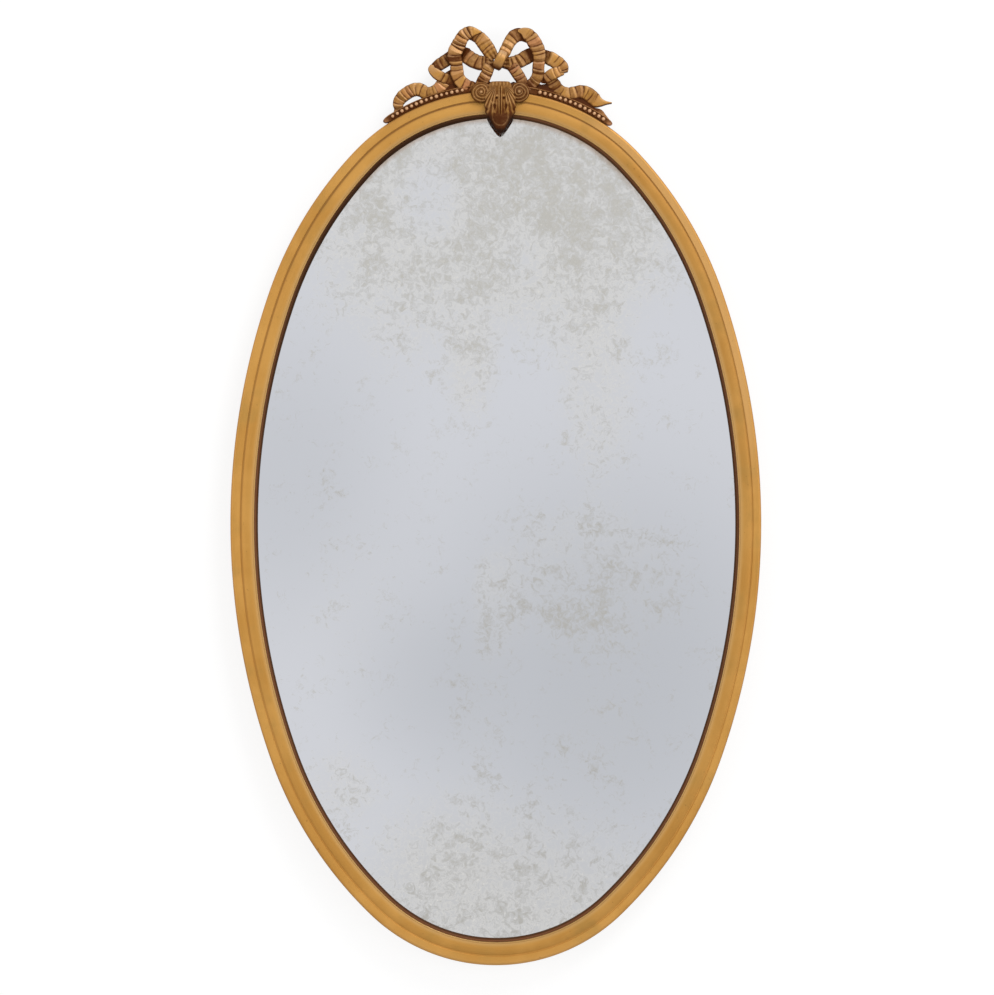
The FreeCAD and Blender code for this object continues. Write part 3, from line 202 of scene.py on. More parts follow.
STRAND_RIGHT = [
    (9, 36.5, 11, 22, 0.6), (17, 36, 14, 24, 0.15), (25, 37.7, 15.5, 24, 0.1), (32, 41, 15.5, 23.5, 0.1),
    (39, 46, 16.5, 22, 0.3), (45.5, 50.5, 16.5, 20, 0.8), (55, 53, 16, 19, 1), (63, 52.7, 15, 20.5, 0.5),
    (71, 51.7, 15.5, 23, 0.05), (78, 49.7, 15.5, 24.5, 0), (83.5, 46.7, 15.5, 25.5, 0),
    (87, 43.5, 13.5, 26, 0),
    (88.5, 39.5, 9, 25.5, 0.1),
]
FOLD_LEFT = [
    (-81, 46.5, 4, 24, 0.1), (-81.5, 41.5, 8.5, 26.5, 0), (-77, 34.5, 11, 27.5, 0),
    (-71, 28.8, 12, 27, 0), (-64.5, 24.2, 12, 25, 0.15), (-58, 20.5, 11.5, 23, 0.5), (-51, 17, 10, 22, 0.8),
]
FOLD_RIGHT = [
    (87, 41.5, 10, 24, 0), (81, 37.8, 12, 26.5, 0), (74, 32.5, 13, 27, 0), (68.5, 27.7, 13, 26, 0.1),
    (63.5, 23.3, 11, 24, 0.3), (58, 20, 6, 22, 0.8),
]
TAIL_LEFT = [
    (-53, 29, 11, 20, 0.9), (-60.5, 24.5, 13, 21, 0.4), (-66.5, 19.3, 15, 22.5, 0.05), (-71.5, 15, 14, 23, 0),
    (-76.5, 12.5, 13.5, 23, 0), (-83, 11.8, 13.5, 22.5, 0), (-89, 14, 14.5, 22.5, 0),
    (-94.5, 19.3, 15, 23, 0),
    (-100.5, 23.3, 15, 23.5, 0), (-107.5, 24.8, 14.5, 23.5, 0), (-113.5, 24.3, 14.5, 23, 0),
    (-119.5, 22.8, 14, 22.5, 0), (-123.8, 19, 13, 22.5, 0), (-124.6, 14, 11.5, 22.5, 0.05),
    (-124.3, 9.5, 10, 22, 0.2), (-125.5, 5, 8.5, 22, 0.4),
]
TAIL_RIGHT = [
    (69.5, 27, 14, 21, 0.6), (73, 22.5, 15, 22.5, 0.2), (77, 18.5, 14.5, 23, 0.2), (83, 15, 12.5, 23, 0.1),
    (90.5, 14.8, 12.5, 23, 0), (97.5, 16.8, 14.5, 23, 0), (105, 21.5, 14.5, 23.5, 0), (111.5, 25, 15, 24, 0),
    (118, 26, 16, 24, 0), (124, 24.5, 16.5, 23.5, 0), (130, 23.5, 15, 23, 0), (136, 25.5, 9, 22.5, 0),
    (142.5, 29.5, 3.8, 22, 0), (149.5, 34.5, 1.2, 21.5, 0),
]
STEM_LEFT = [
    (-6, 34, 12, 24, 0.5), (-9.5, 28, 14, 25, 0.1), (-11, 22.5, 13.5, 25.5, 0.1), (-14, 16.5, 13.5, 26, 0.2),
    (-18, 10, 13, 26, 0.4), (-19.5, 4, 11, 26, 0.6),
]
STEM_RIGHT = [
    (19, 34, 12, 23, 0.6), (24, 29.5, 13.5, 25, 0.1), (27.5, 24.5, 13.5, 25.5, 0.1), (31.5, 19, 13, 26, 0.2),
    (35, 13, 12, 26, 0.4), (36.5, 7, 11, 26, 0.5),
]
KNOT = [
    (12.5, 52, 6.5, 24, 0.4), (11, 49.3, 8.8, 29, 0), (9.3, 45.5, 10.2, 32.5, 0), (7, 40.5, 10.8, 34, 0),
    (4.5, 35.5, 11.4, 33, 0), (2.2, 31, 11, 30, 0), (0.8, 27.8, 8, 25, 0.4),
]
# Of the ribbon: points across its face and back, the back's share of the width, the least width and
# thickness, how far the middle stands proud, where the edges' roll starts as a share of the half width,
# the length over which the direction is eased, the reach of a crease's dark line, and the lengths over
# which pleats fade into a calm stretch and gathers die away.
FACE_POINTS, BACK_POINTS = 17, 5
BACK_SHARE = 0.96
LEAST_WIDTH, LEAST_THICKNESS = 0.4 * MM, 1 * MM
RIBBON_CROWN = 0.6 * MM
ROLL_START = 0.72
TURN_EASE = 4 * MM
CREASE_REACH = 0.75 * MM
CALM_FADE = 4 * MM
GATHER_RUN = 9 * MM

# Where the rail rises in a web behind the ribbon: right of the centre line, reach, height, share of painted
# shade.
RAIL_WEBS = [
    (-54, 7, 11, 1), (-9, 5, 4.5, 0.5), (22, 5, 4.5, 0.5), (50, 5, 6.5, 0.8), (60, 6, 8, 0.7),
    (70, 6, 7, 0.7), (106, 9, 11, 1.2), (128, 8, 5, 0),
]

# The leaf's half width at heights above the moulding's edge, millimetres.
LEAF_HEIGHTS = (-55.8, -54, -49, -43.5, -37, -31, -26, -18, -8, -2, 3, 7, 9, 10.4)
LEAF_HALF_WIDTHS = (1.2, 4, 8, 11.8, 15.7, 18, 19.5, 20.3, 19.6, 18.3, 16.5, 14.6, 13.5, 12)
# How far the carving's places are moved right and up, in millimetres.
CREST_SHIFT = (-0.7, 0.5)
# Right and rise of the scrolls' middles in millimetres, the hand of the spiral and how much darker it is
# painted.
SCROLL_PLACES = {"scroll_left": (-18, -2.4, 1, 0), "scroll_right": (30.6, -0.6, -1, 0.14)}
# Forward of the leaf's and scrolls' backs, and the least of the leaf's front, in millimetres.
CARVING_BACK = 28.2
LEAF_LEAST = 29

# Soft spots of the silvering, in metres: place, reach and strength. Foxed ones cloud it or, below zero,
# leave it clear; dimmed ones mirror a darker part of the room.
FOXED_SPOTS = [
    ((0, 0.52), (0.44, 0.34), 1.0), ((0.1, 0.36), (0.2, 0.22), 0.5), ((-0.12, 0.3), (0.18, 0.2), 0.4),
    ((-0.03, 0.19), (0.05, 0.1), 0.5), ((0.12, -0.08), (0.18, 0.15), 0.8),
    ((0.02, -0.47), (0.32, 0.22), 0.75), ((-0.02, -0.22), (0.06, 0.12), 0.35),
    ((-0.2, -0.33), (0.08, 0.08), 0.4), ((0.13, -0.27), (0.09, 0.1), 0.4), ((-0.19, -0.1), (0.12, 0.2), 0.2),
    ((0.13, 0.16), (0.08, 0.18), 0.5), ((0, -0.11), (0.05, 0.11), 0.6), ((-0.085, 0.414), (0.07, 0.09), -0.7),
    ((0.03, 0.35), (0.05, 0.06), -0.5),
]
DIMMED_SPOTS = [
    ((0.15, -0.2), (0.4, 0.42), 0.75), ((-0.27, 0.06), (0.22, 0.28), 0.42),
    ((-0.1, -0.2), (0.16, 0.16), 0.25),
]
# Dark fibres of the grey and the brown felt, in linear light.
GREY_FIBRE = (0.02, 0.02, 0.018)
BROWN_FIBRE = (0.04, 0.025, 0.015)


def linear(red, green, blue):
    """A colour given as screen levels, 0 to 255, in linear light."""
    level = np.array([red, green, blue]) / 255
    light = np.where(level <= 0.04045, level / 12.92, ((level + 0.055) / 1.055) ** 2.4)
    return tuple(float(part) for part in light)


# Sizes and colours that a user would change


def length(name, description, millimetres):
    """A length property with its default in millimetres."""
    return FloatProperty(name=name, description=description, default=millimetres * MM, min=0, unit="LENGTH")


def amount(name, description, default, highest=1.0):
    """A plain number from 0 upwards."""
    return FloatProperty(name=name, description=description, default=default, min=0, max=highest)


def colour(name, description, red, green, blue):
    """A colour property with its default in screen levels."""
    return FloatVectorProperty(
        name=name, description=description, size=3, min=0, max=1, subtype="COLOR",
        default=linear(red, green, blue),
    )


class MirrorSizes(PropertyGroup):
    """Sizes of the modelled surfaces."""

    path_step: length("Path step", "Spacing of the moulding's rings", 4)
    ribbon_step: length("Ribbon step", "Spacing of points along the ribbon", 0.55)
    ribbon_edge: length("Ribbon edge", "Rounding of the ribbon's edges", 1.1)
    ribbon_swell: amount("Ribbon swell", "Factor on the ribbon's stated widths", 1.12, 2)
    pleat_pitch: length("Pleat pitch", "Mean width of the ribbon's pleats", 7)
    pleat_depth: length("Pleat depth", "Ridge to valley of the ribbon's pleats", 2.6)
    bead_radius: length("Bead radius", "Beads on the crest rail", 2.3)
    bead_pitch: length("Bead pitch", "Bead to bead", 7)
    bead_rise: length("Bead rise", "Bead row above the moulding's edge", 4.2)
    scroll_radius: length("Scroll radius", "Scrolls beside the leaf", 13.2)
    scroll_pitch: length("Scroll pitch", "Ridge to ridge of the scrolls", 3.9)
    bead_sides: IntProperty(name="Bead sides", description="Points round a bead", default=14, min=6)


class MirrorColours(PropertyGroup):
    """Colours of the finishes."""

    gold: colour("Gold", "Gilding of the moulding", 194, 140, 65)
    pale_gold: colour("Pale gold", "Lighter patches of the gilding", 208, 155, 79)
    olive_gold: colour("Olive gold", "Duller patches of the gilding", 182, 139, 70)
    # Painted light: the outer band paler at the upper right and the outer edge paler at the foot.
    painted_light_gold: colour("Light gold", "Paler gilding at the upper right and the foot", 216, 166, 100)
    faded_gold: colour("Faded gold", "Gilding beside the sight edge", 196, 156, 98)
    bole: colour("Bole", "Clay under the gilding, where it is rubbed", 198, 132, 92)
    # Umber in the hollows, and also painted shade: downward ribbon facets and edges, the groove at the top,
    # under and behind the rail, the leaf's lower half and the beads' sides.
    umber: colour("Umber", "Glaze in the hollows", 86, 39, 8)
    carved_gold: colour("Carved gold", "Gilding of the crest", 190, 141, 87)
    # Worn ridges of the crest, and also its painted highlights: upward ribbon facets, bead fronts, the leaf's
    # upper ridges and outline.
    carved_light: colour("Carved light", "Rubbed ridges of the crest", 228, 192, 153)
    # Painted shade: near-black in the deepest hollows, on the leaf's lower edges and tip, in the webs behind
    # the ribbon and on the slip's upper left.
    soot: colour("Soot", "Grime in the deepest parts", 34, 18, 9)
    slip_brown: colour("Slip brown", "Dark slip beside the glass", 84, 57, 35)
    silver: colour("Silver", "Clear silvering", 207, 209, 215)
    dim_silver: colour("Dim silver", "Clear silvering where the room behind is darker", 182, 185, 191)
    foxing: colour("Foxing", "Clouded silvering", 189, 187, 181)
    dim_foxing: colour("Dim foxing", "Clouded silvering where the room behind is darker", 180, 178, 173)
    haze: colour("Haze", "Greyed silvering between the specks", 204, 204, 204)
    foot_haze: colour("Foot haze", "Greyed silvering at the foot", 191, 190, 187)
    rim: colour("Rim", "Pale rims and specks of the clouded silvering", 222, 220, 215)
    # Painted reflection and shadow of the frame: browner silvering along the top of the sight edge.
    tan: colour("Tan", "Silvering browned along the top edge", 158, 128, 100)
    pine: colour("Pine", "Backboards and back rails", 176, 136, 92)
    pine_grain: colour("Pine grain", "Darker grain of the pine", 122, 84, 50)
    beech: colour("Beech", "Dowels, pegs and shims", 196, 158, 118)
    felt: colour("Felt", "Felt behind the glass", 70, 72, 66)
    bumper: colour("Bumper", "Felt bumpers", 84, 62, 44)
    brass: colour("Brass", "Turn buttons and hangers", 196, 158, 92)
    brass_tarnish: colour("Brass tarnish", "Dull clouds on the brass", 116, 84, 44)
    steel: colour("Steel", "Screws", 168, 165, 158)
    steel_tarnish: colour("Steel tarnish", "Dull clouds on the screws", 96, 88, 78)


class MirrorStage(PropertyGroup):
    """Camera, lamps and backdrop."""

    camera_distance: length("Camera distance", "Camera to the moulding's front", 4000)
    view_height: length("View height", "What the picture's height covers", 1273.5)
    aim_right: length("Aim right", "Picture's middle right of the centre line", 1.5)
    aim_up: length("Aim up", "Picture's middle above the widest level", 33.2)
    key_power: amount("Key power", "Watts of the lamp above", 40, 1000)
    fill_power: amount("Fill power", "Watts of each lamp at the side", 15, 1000)
    sky: amount("Sky", "Strength of the surrounding light", 0.5)
    floor_drop: length("Floor drop", "Floor below the widest level", 1250)


# Shapes


class Oval:
    """The moulding's outer edge: ten tangent arcs, addressed by the compass angle of the outward normal.

    In each half the sideways runs of the side, shoulder and end arcs add up to the half width and
    their upward runs to the rise. The shoulder is a share of the mean of the other two, which leaves
    two equations for two radii.
    """

    def __init__(self, half_width, rise, drop):
        order = [0, 1, 2, 1, 0]
        radii, centres, starts = [], [], []
        halves = (
            (rise, UPPER_TURNS, (1, 1, 1, -1, -1), 1, 0),
            (drop, LOWER_TURNS, (-1, -1, 1, 1, 1), -1, HALF_TURN),
        )
        for reach, turns, sides, upward, offset in halves:
            half_radii, half_centres = self.quarter(half_width, reach, *turns)
            side_turn, shoulder_turn, _ = turns
            radii.append(half_radii[order])
            centres.append(half_centres[order] * np.column_stack([sides, np.full(5, upward)]))
            starts += [offset, offset + side_turn, offset + shoulder_turn]
            starts += [offset + HALF_TURN - shoulder_turn, offset + HALF_TURN - side_turn]
        self.radii = np.concatenate(radii)
        self.centres = np.concatenate(centres)
        self.starts = np.array(starts + [FULL_TURN])
        self.lengths = np.concatenate([[0], np.cumsum(self.radii * np.radians(np.diff(self.starts)))])

    @staticmethod
    def quarter(half_width, rise, side_turn, shoulder_turn, share):
        """Radii and centres of the side, shoulder and end arcs of the upper right quarter."""
        first, second = np.radians([side_turn, shoulder_turn])
        half_share = share / 2
        across = half_share * (math.cos(first) - math.cos(second))
        up = half_share * (math.sin(second) - math.sin(first))
        runs = [
            [1 - math.cos(first) + across, math.cos(second) + across],
            [math.sin(first) + up, 1 - math.sin(second) + up],
        ]
        side, end = np.linalg.solve(runs, [half_width, rise])
        shoulder = half_share * (side + end)
        side_centre = np.array([half_width - side, 0])
        shoulder_centre = side_centre + (side - shoulder) * np.array([math.cos(first), math.sin(first)])
        end_up = shoulder_centre[1] + (shoulder - end) * math.sin(second)
        return np.array([side, shoulder, end]), np.array([side_centre, shoulder_centre, (0, end_up)])

    def point(self, angle, inset):
        """Right and up of the outline's points with these normals, moved inwards."""
        arc = np.searchsorted(self.starts, angle % FULL_TURN, side="right") - 1
        reach = self.radii[arc] - inset
        turn = np.radians(angle)
        return self.centres[arc, 0] + reach * np.cos(turn), self.centres[arc, 1] + reach * np.sin(turn)

    def length_at(self, angle):
        """Length along the outline from the right side to the point with this normal."""
        laps = np.floor_divide(angle, FULL_TURN)
        return laps * self.lengths[-1] + np.interp(angle % FULL_TURN, self.starts, self.lengths)

    def angles(self, start, end, step):
        """Normal angles at even steps of length, and those lengths."""
        run = self.length_at(np.array([start, end], float))
        along = np.linspace(run[0], run[1], 1 + round((run[1] - run[0]) / step))
        laps = np.floor_divide(along, self.lengths[-1])
        return laps * FULL_TURN + np.interp(along % self.lengths[-1], self.lengths, self.starts), along

    def top_edge(self, across):
        """Height of the outline's top arc at a distance right of the centre line."""
        return self.centres[2, 1] + np.sqrt(self.radii[2] ** 2 - across ** 2)

    def top_angle(self, across):
        """Normal angle of the top arc at a distance right of the centre line."""
        return math.degrees(math.acos(across / self.radii[2]))


OVAL = Oval(HALF_WIDTH, TOP_RISE, BOTTOM_DROP)


def unit(value):
    """Values kept between 0 and 1."""
    return np.clip(value, 0, 1)


def smooth_step(low, high, value):
    """0 at low, 1 at high, with a smooth rise between."""
    share = unit((value - low) / (high - low))
    return share * share * (3 - 2 * share)


def bump(value, centre, reach):
    """A bell of height 1 round a centre."""
    return np.exp(-(((value - centre) / reach) ** 2))


def stretch_of(angles, middle, low, high):
    """A stretch of the oval round a normal angle: 0 and 1 where the cosine from it is low and high."""
    return smooth_step(low, high, np.cos(np.radians(angles - middle)))[:, None]


def drawn(start, strokes):
    """A section in metres from strokes, each a line with a parabola's bow to the left of its travel."""
    parts = []
    here = np.array(start, float)
    for end, bow, steps in strokes:
        there = np.array(end, float)
        share = np.arange(steps)[:, None] / steps
        run = there - here
        left = np.array([-run[1], run[0]]) / np.hypot(*run)
        parts.append(here + run * share + left * bow * 4 * share * (1 - share))
        here = there
    return np.concatenate(parts) * MM


class Shell:
    """Points, faces and painted values of closed surfaces that make one piece."""

    def __init__(self, points, blocks, **painted):
        self.points = points
        self.blocks = blocks
        self.painted = {name: np.broadcast_to(value, len(points)) for name, value in painted.items()}

    def volume(self):
        """Six times the volume that the faces enclose, counted over fans of triangles."""
        total = 0
        for block in self.blocks:
            first = self.points[block[:, :1]]
            second = self.points[block[:, 1:-1]]
            third = self.points[block[:, 2:]]
            total += np.sum(first * np.cross(second, third))
        return total


def joined(shells):
    """Several shells as one."""
    starts = np.cumsum([0] + [len(shell.points) for shell in shells])
    blocks = [block + start for start, shell in zip(starts, shells) for block in shell.blocks]
    points = np.concatenate([shell.points for shell in shells])
    names = shells[0].painted
    painted = {name: np.concatenate([shell.painted[name] for shell in shells]) for name in names}
    return Shell(points, blocks, **painted)


def tube(rings, closed=False, **painted):
    """A shell of rings of points, shape (rings, points round, 3): quads between rings and flat end caps.

    If the faces turn out to point inwards they are all turned round.
    """
    rows, columns = rings.shape[:2]
    last = rows if closed else rows - 1
    row, column = np.meshgrid(np.arange(last), np.arange(columns), indexing="ij")
    here, after = row * columns, (row + 1) % rows * columns
    beside = (column + 1) % columns
    corners = (here + column, here + beside, after + beside, after + column)
    blocks = [np.stack(corners, axis=-1).reshape(-1, 4)]
    if not closed:
        cap = np.arange(columns)[None]
        blocks += [cap[:, ::-1], cap + (rows - 1) * columns]
    flat = {name: np.broadcast_to(value, (rows, columns)).ravel() for name, value in painted.items()}
    shell = Shell(rings.reshape(-1, 3), blocks, **flat)
    if shell.volume() < 0:
        shell.blocks = [block[:, ::-1] for block in shell.blocks]
    return shell


def make_piece(name, shell, material, nodes, sharp=40):
    """A mesh object from a shell, riding on the mirror and standing for the given nodes."""
    if not np.isfinite(shell.points).all() or shell.volume() <= 0:
        raise ValueError(f"{name} has no proper volume")
    mesh = bpy.data.meshes.new(name)
    faces = [face for block in shell.blocks for face in block.tolist()]
    mesh.from_pydata(shell.points, [], faces)
    for label, value in shell.painted.items():
        layer = mesh.attributes.new(label, "FLOAT", "POINT")
        layer.data.foreach_set("value", np.ascontiguousarray(value, np.float32))
    mesh.shade_smooth()
    mesh.set_sharp_from_angle(angle=math.radians(sharp))
    mesh.materials.append(material)
    piece = bpy.data.objects.new(name, mesh)
    bpy.context.scene.collection.objects.link(piece)
    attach(piece, BODY)
    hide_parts(*nodes)


def placed(right, forward, up):
    """Points from their places to the right, forward and up."""
    return np.stack(np.broadcast_arrays(right, -forward, up), axis=-1)


def carried(section, angles):
    """A section of (inset, forward) carried along the oval, with one ring for each normal angle.

    The section's inner part drifts a little to the right.
    """
    inset, forward = np.moveaxis(np.broadcast_to(section, (len(angles), *section.shape[-2:])), -1, 0)
    right, up = OVAL.point(angles[:, None], inset)
    right = right + SIGHT_DRIFT * smooth_step(*DRIFT_INSETS, inset)
    return placed(right, forward, up)


def flowing(stations, step):
    """Lengths and rows of a smooth path: a Catmull-Rom curve in every column, at even steps of length."""
    knots = np.vstack([2 * stations[0] - stations[1], stations, 2 * stations[-1] - stations[-2]])
    share = np.linspace(0, 1, 24, endpoint=False)[None, :, None]
    before, here, after, beyond = (knots[i:len(knots) - 3 + i, None, :] for i in range(4))
    curve = 0.5 * (
        2 * here + (after - before) * share + (2 * before - 5 * here + 4 * after - beyond) * share ** 2
        + (3 * here - before - 3 * after + beyond) * share ** 3
    )
    curve = np.vstack([curve.reshape(-1, stations.shape[1]), stations[-1]])
    lengths = np.concatenate([[0], np.cumsum(np.hypot(*np.diff(curve[:, :2], axis=0).T))])
    even = np.linspace(0, lengths[-1], 1 + round(lengths[-1] / step))
    return even, np.column_stack([np.interp(even, lengths, column) for column in curve.T])


def ribbon(stations, sizes, back, seed, pleats=1.0, calm=(0, 0), gathers=0.0):
    """A carved strip of ribbon along stations, with accordion pleats across it.

    Point (s, v), s along and v from -1 to 1 across, lies on the centre line plus v half widths along
    its normal. Its front is the station's, lowered at rounded edges, plus a zigzag in s whose creases
    slant with v. Pleats fade in and out over the calm lengths; gathers are flutes along the first part.
    The normal is eased over a short length, and the umber in a crease may run only part of the way across.
    """
    rows = np.array(stations, float)
    rows[:, 1] += OVAL.top_edge(rows[:, 0] * MM) / MM
    rows[:, :2] += CREST_SHIFT
    rows[:, 2] *= sizes.ribbon_swell
    rows[:, :4] *= MM
    along, path = flowing(rows, sizes.ribbon_step)
    rng = np.random.default_rng(seed)
    count = 4 + round(along[-1] / sizes.pleat_pitch)
    widths = sizes.pleat_pitch * rng.uniform(0.6, 1.4, count)
    valleys = np.cumsum(widths) - 2 * sizes.pleat_pitch
    ridges = valleys[:-1] + widths[1:] * rng.uniform(0.25, 0.6, count - 1)
    creases = np.sort(np.concatenate([valleys, ridges]))
    heights = np.empty(len(creases))
    heights[0::2] = rng.uniform(0, 0.5, count)
    heights[1::2] = rng.uniform(0.55, 1, count - 1)
    slants = np.interp(along, valleys, rng.uniform(-0.22, 0.22, count))[:, None]

    face = np.linspace(-1, 1, FACE_POINTS)
    rear = np.linspace(1, -1, BACK_POINTS) * BACK_SHARE
    side = np.concatenate([face, rear])[None]
    is_front = np.arange(side.size)[None] < FACE_POINTS
    half = np.clip(path[:, 2:3], LEAST_WIDTH, None) / 2
    shifted = along[:, None] + side * half * slants + 0.12 * half * side ** 2
    zigzag = np.interp(shifted, creases, heights)
    near = np.clip(np.searchsorted(valleys, shifted), 1, count - 1)
    before, after = shifted - valleys[near - 1], valleys[near] - shifted
    nearest = np.where(before < after, near - 1, near)
    fade = np.full((len(along), 1), float(pleats))
    for quiet, run in zip(calm, (along, along[-1] - along)):
        if quiet:
            awake = smooth_step(quiet * MM - CALM_FADE, quiet * MM + CALM_FADE, run)
            fade = np.minimum(fade, awake[:, None] * pleats)
    flutes = gathers * np.exp(-along / GATHER_RUN)[:, None] * np.cos(side * 3 * np.pi) * 0.5
    roll = unit((np.abs(side) - ROLL_START) / (1 - ROLL_START))
    edge_drop = sizes.ribbon_edge * (1 - np.sqrt(1 - roll ** 2 * 0.98))
    front = path[:, 3:4] - edge_drop + RIBBON_CROWN * (1 - side ** 2)
    front = front + fade * sizes.pleat_depth * (zigzag - 0.6) + flutes * MM
    forward = np.where(is_front, np.maximum(front, back * MM + LEAST_THICKNESS), back * MM)
    spread = side * half * (1 + 0.07 * fade * (zigzag - 0.5))

    reach = round(TURN_EASE / sizes.ribbon_step)
    slope = np.pad(np.gradient(path[:, :2], axis=0), ((reach, reach), (0, 0)), mode="edge")
    slope = np.stack([np.convolve(part, np.ones(2 * reach + 1), mode="valid") for part in slope.T], axis=1)
    slope /= np.hypot(*slope.T)[:, None]
    ahead_right, ahead_up = slope[:, 0:1], slope[:, 1:2]
    right = path[:, 0:1] - ahead_up * spread
    up = path[:, 1:2] + ahead_right * spread
    line = np.exp(-((np.minimum(before, after) / CREASE_REACH) ** 2)) * fade
    along_slope = np.gradient(front, along, axis=0)
    across_slope = np.gradient(front, axis=1) / np.gradient(side * half, axis=1)
    facing_up = -(along_slope * ahead_up + across_slope * ahead_right)
    facing_right = -(along_slope * ahead_right - across_slope * ahead_up)
    # Painted light from the facets' facing: lit is positive where a facet faces up and to the right.
    lit = np.clip(0.9 * facing_up + 0.4 * facing_right, -1, 1)
    shade = path[:, 4:5]
    tint = rng.uniform(-0.08, 0.36, count)[near] * fade
    lean = rng.uniform(-1, 1, count)[nearest]
    partial = smooth_step(-1.3, -0.2, side * np.sign(lean) + np.abs(lean) - 0.5)
    depth = rng.uniform(0.5, 1.3, count)[nearest] * partial
    # Umber in the creases, plus painted shade from the stations, on downward facets and on the rolled edges;
    # ridge is worn ridges plus a painted highlight on upward facets.
    recess = shade + tint + 0.7 * line * depth + 0.6 * unit(-lit) + 0.4 * roll ** 3 - 0.1 * flutes
    ridge = (unit(lit) + 0.3 * smooth_step(0.75, 1, zigzag) * fade) * is_front * (1 - shade)
    clay = rng.uniform(0, 1, count)[near] ** 3 * fade
    rings = placed(right, forward, up)
    return tube(rings, recess=unit(np.where(is_front, recess, 1)), rubbed=unit(ridge), clay=clay)


# Finishes


class Value:
    """A node's result. Sums, products and ramps of it add further nodes."""

    def __init__(self, finish, socket):
        self.finish = finish
        self.socket = socket

    def math(self, operation, other):
        """This value and another put together by an operation."""
        return self.finish.add("ShaderNodeMath", {0: self, 1: other}, operation=operation)

    def __add__(self, other):
        return self.math("ADD", other)

    def __mul__(self, other):
        return self.math("MULTIPLY", other)

    def clamped(self):
        """The value kept between 0 and 1."""
        return self.finish.add("ShaderNodeClamp", {0: self})

    def ramp(self, low, high, least=0.0, most=1.0):
        """A smooth rise of the value between two levels."""
        levels = {0: self, 1: low, 2: high, 3: least, 4: most}
        return self.finish.add("ShaderNodeMapRange", levels, interpolation_type="SMOOTHSTEP")


class Finish:
    """A material or world under construction: each method adds a node and returns its result."""

    def __init__(self, name, kind="materials"):
        self.block = getattr(bpy.data, kind).new(name)
        self.block.use_nodes = True
        self.tree = self.block.node_tree
        self.tree.nodes.clear()

    def node(self, kind, inputs, **settings):
        """A node with its settings and inputs, by socket name or number."""
        node = self.tree.nodes.new(kind)
        for name, value in settings.items():
            setattr(node, name, value)
        for key, value in inputs.items():
            socket = node.inputs[key]
            if isinstance(value, Value):
                self.tree.links.new(value.socket, socket)
            elif socket.type == "RGBA":
                socket.default_value = (*value, 1)
            else:
                socket.default_value = value
        return node

    def add(self, kind, inputs, output=0, **settings):
        """One result of a new node, by socket name or number."""
        return Value(self, self.node(kind, inputs, **settings).outputs[output])

    def places(self, scale=(1, 1, 1), location=(0, 0, 0)):
        """Object coordinates, scaled and then moved."""
        place = self.add("ShaderNodeTexCoord", {}, "Object")
        return self.add("ShaderNodeMapping", {"Vector": place, "Scale": scale, "Location": location})

    def split(self, place):
        """The three coordinates of a place."""
        return [Value(self, socket) for socket in self.node("ShaderNodeSeparateXYZ", {0: place}).outputs]

    def painted(self, name):
        """A value painted on the mesh."""
        return self.add("ShaderNodeAttribute", {}, "Fac", attribute_name=name)

    def noise(self, scale, detail, roughness, distortion=0.0, place=None):
        """Cloudy noise from 0 to 1, over object coordinates or the given ones."""
        inputs = {"Vector": place or self.places(), "Scale": scale, "Detail": detail,
                  "Roughness": roughness, "Distortion": distortion}
        return self.add("ShaderNodeTexNoise", inputs, "Fac")

    def spots(self, spots, fall):
        """A sum of soft spots over the plate, each full near its middle and gone at its reach."""
        total = 0.0
        for (right, up), (wide, tall), strength in spots:
            centred = self.places((1 / wide, 0, 1 / tall), (-right / wide, 0, -up / tall))
            spot = self.add("ShaderNodeTexGradient", {0: centred}, "Fac", gradient_type="SPHERICAL")
            total = spot.ramp(0, fall) * strength + total
        return total

    def coats(self, tone, *layers):
        """A colour with layers of (share, colour) mixed over it in turn."""
        for share, colour in layers:
            tone = self.add("ShaderNodeMix", {0: share, 6: tone, 7: colour}, 2, data_type="RGBA")
        return tone

    def relief(self, height, depth, strength):
        """A bumped normal from a height."""
        return self.add("ShaderNodeBump", {"Height": height, "Distance": depth, "Strength": strength})

    def surface(self, tone, **inputs):
        """The finished surface, as a principled shader on the output; underscores stand for spaces."""
        named = {key.replace("_", " "): value for key, value in inputs.items()}
        shader = self.add("ShaderNodeBsdfPrincipled", {"Base Color": tone, **named})
        self.node("ShaderNodeOutputMaterial", {"Surface": shader})
        return self.block


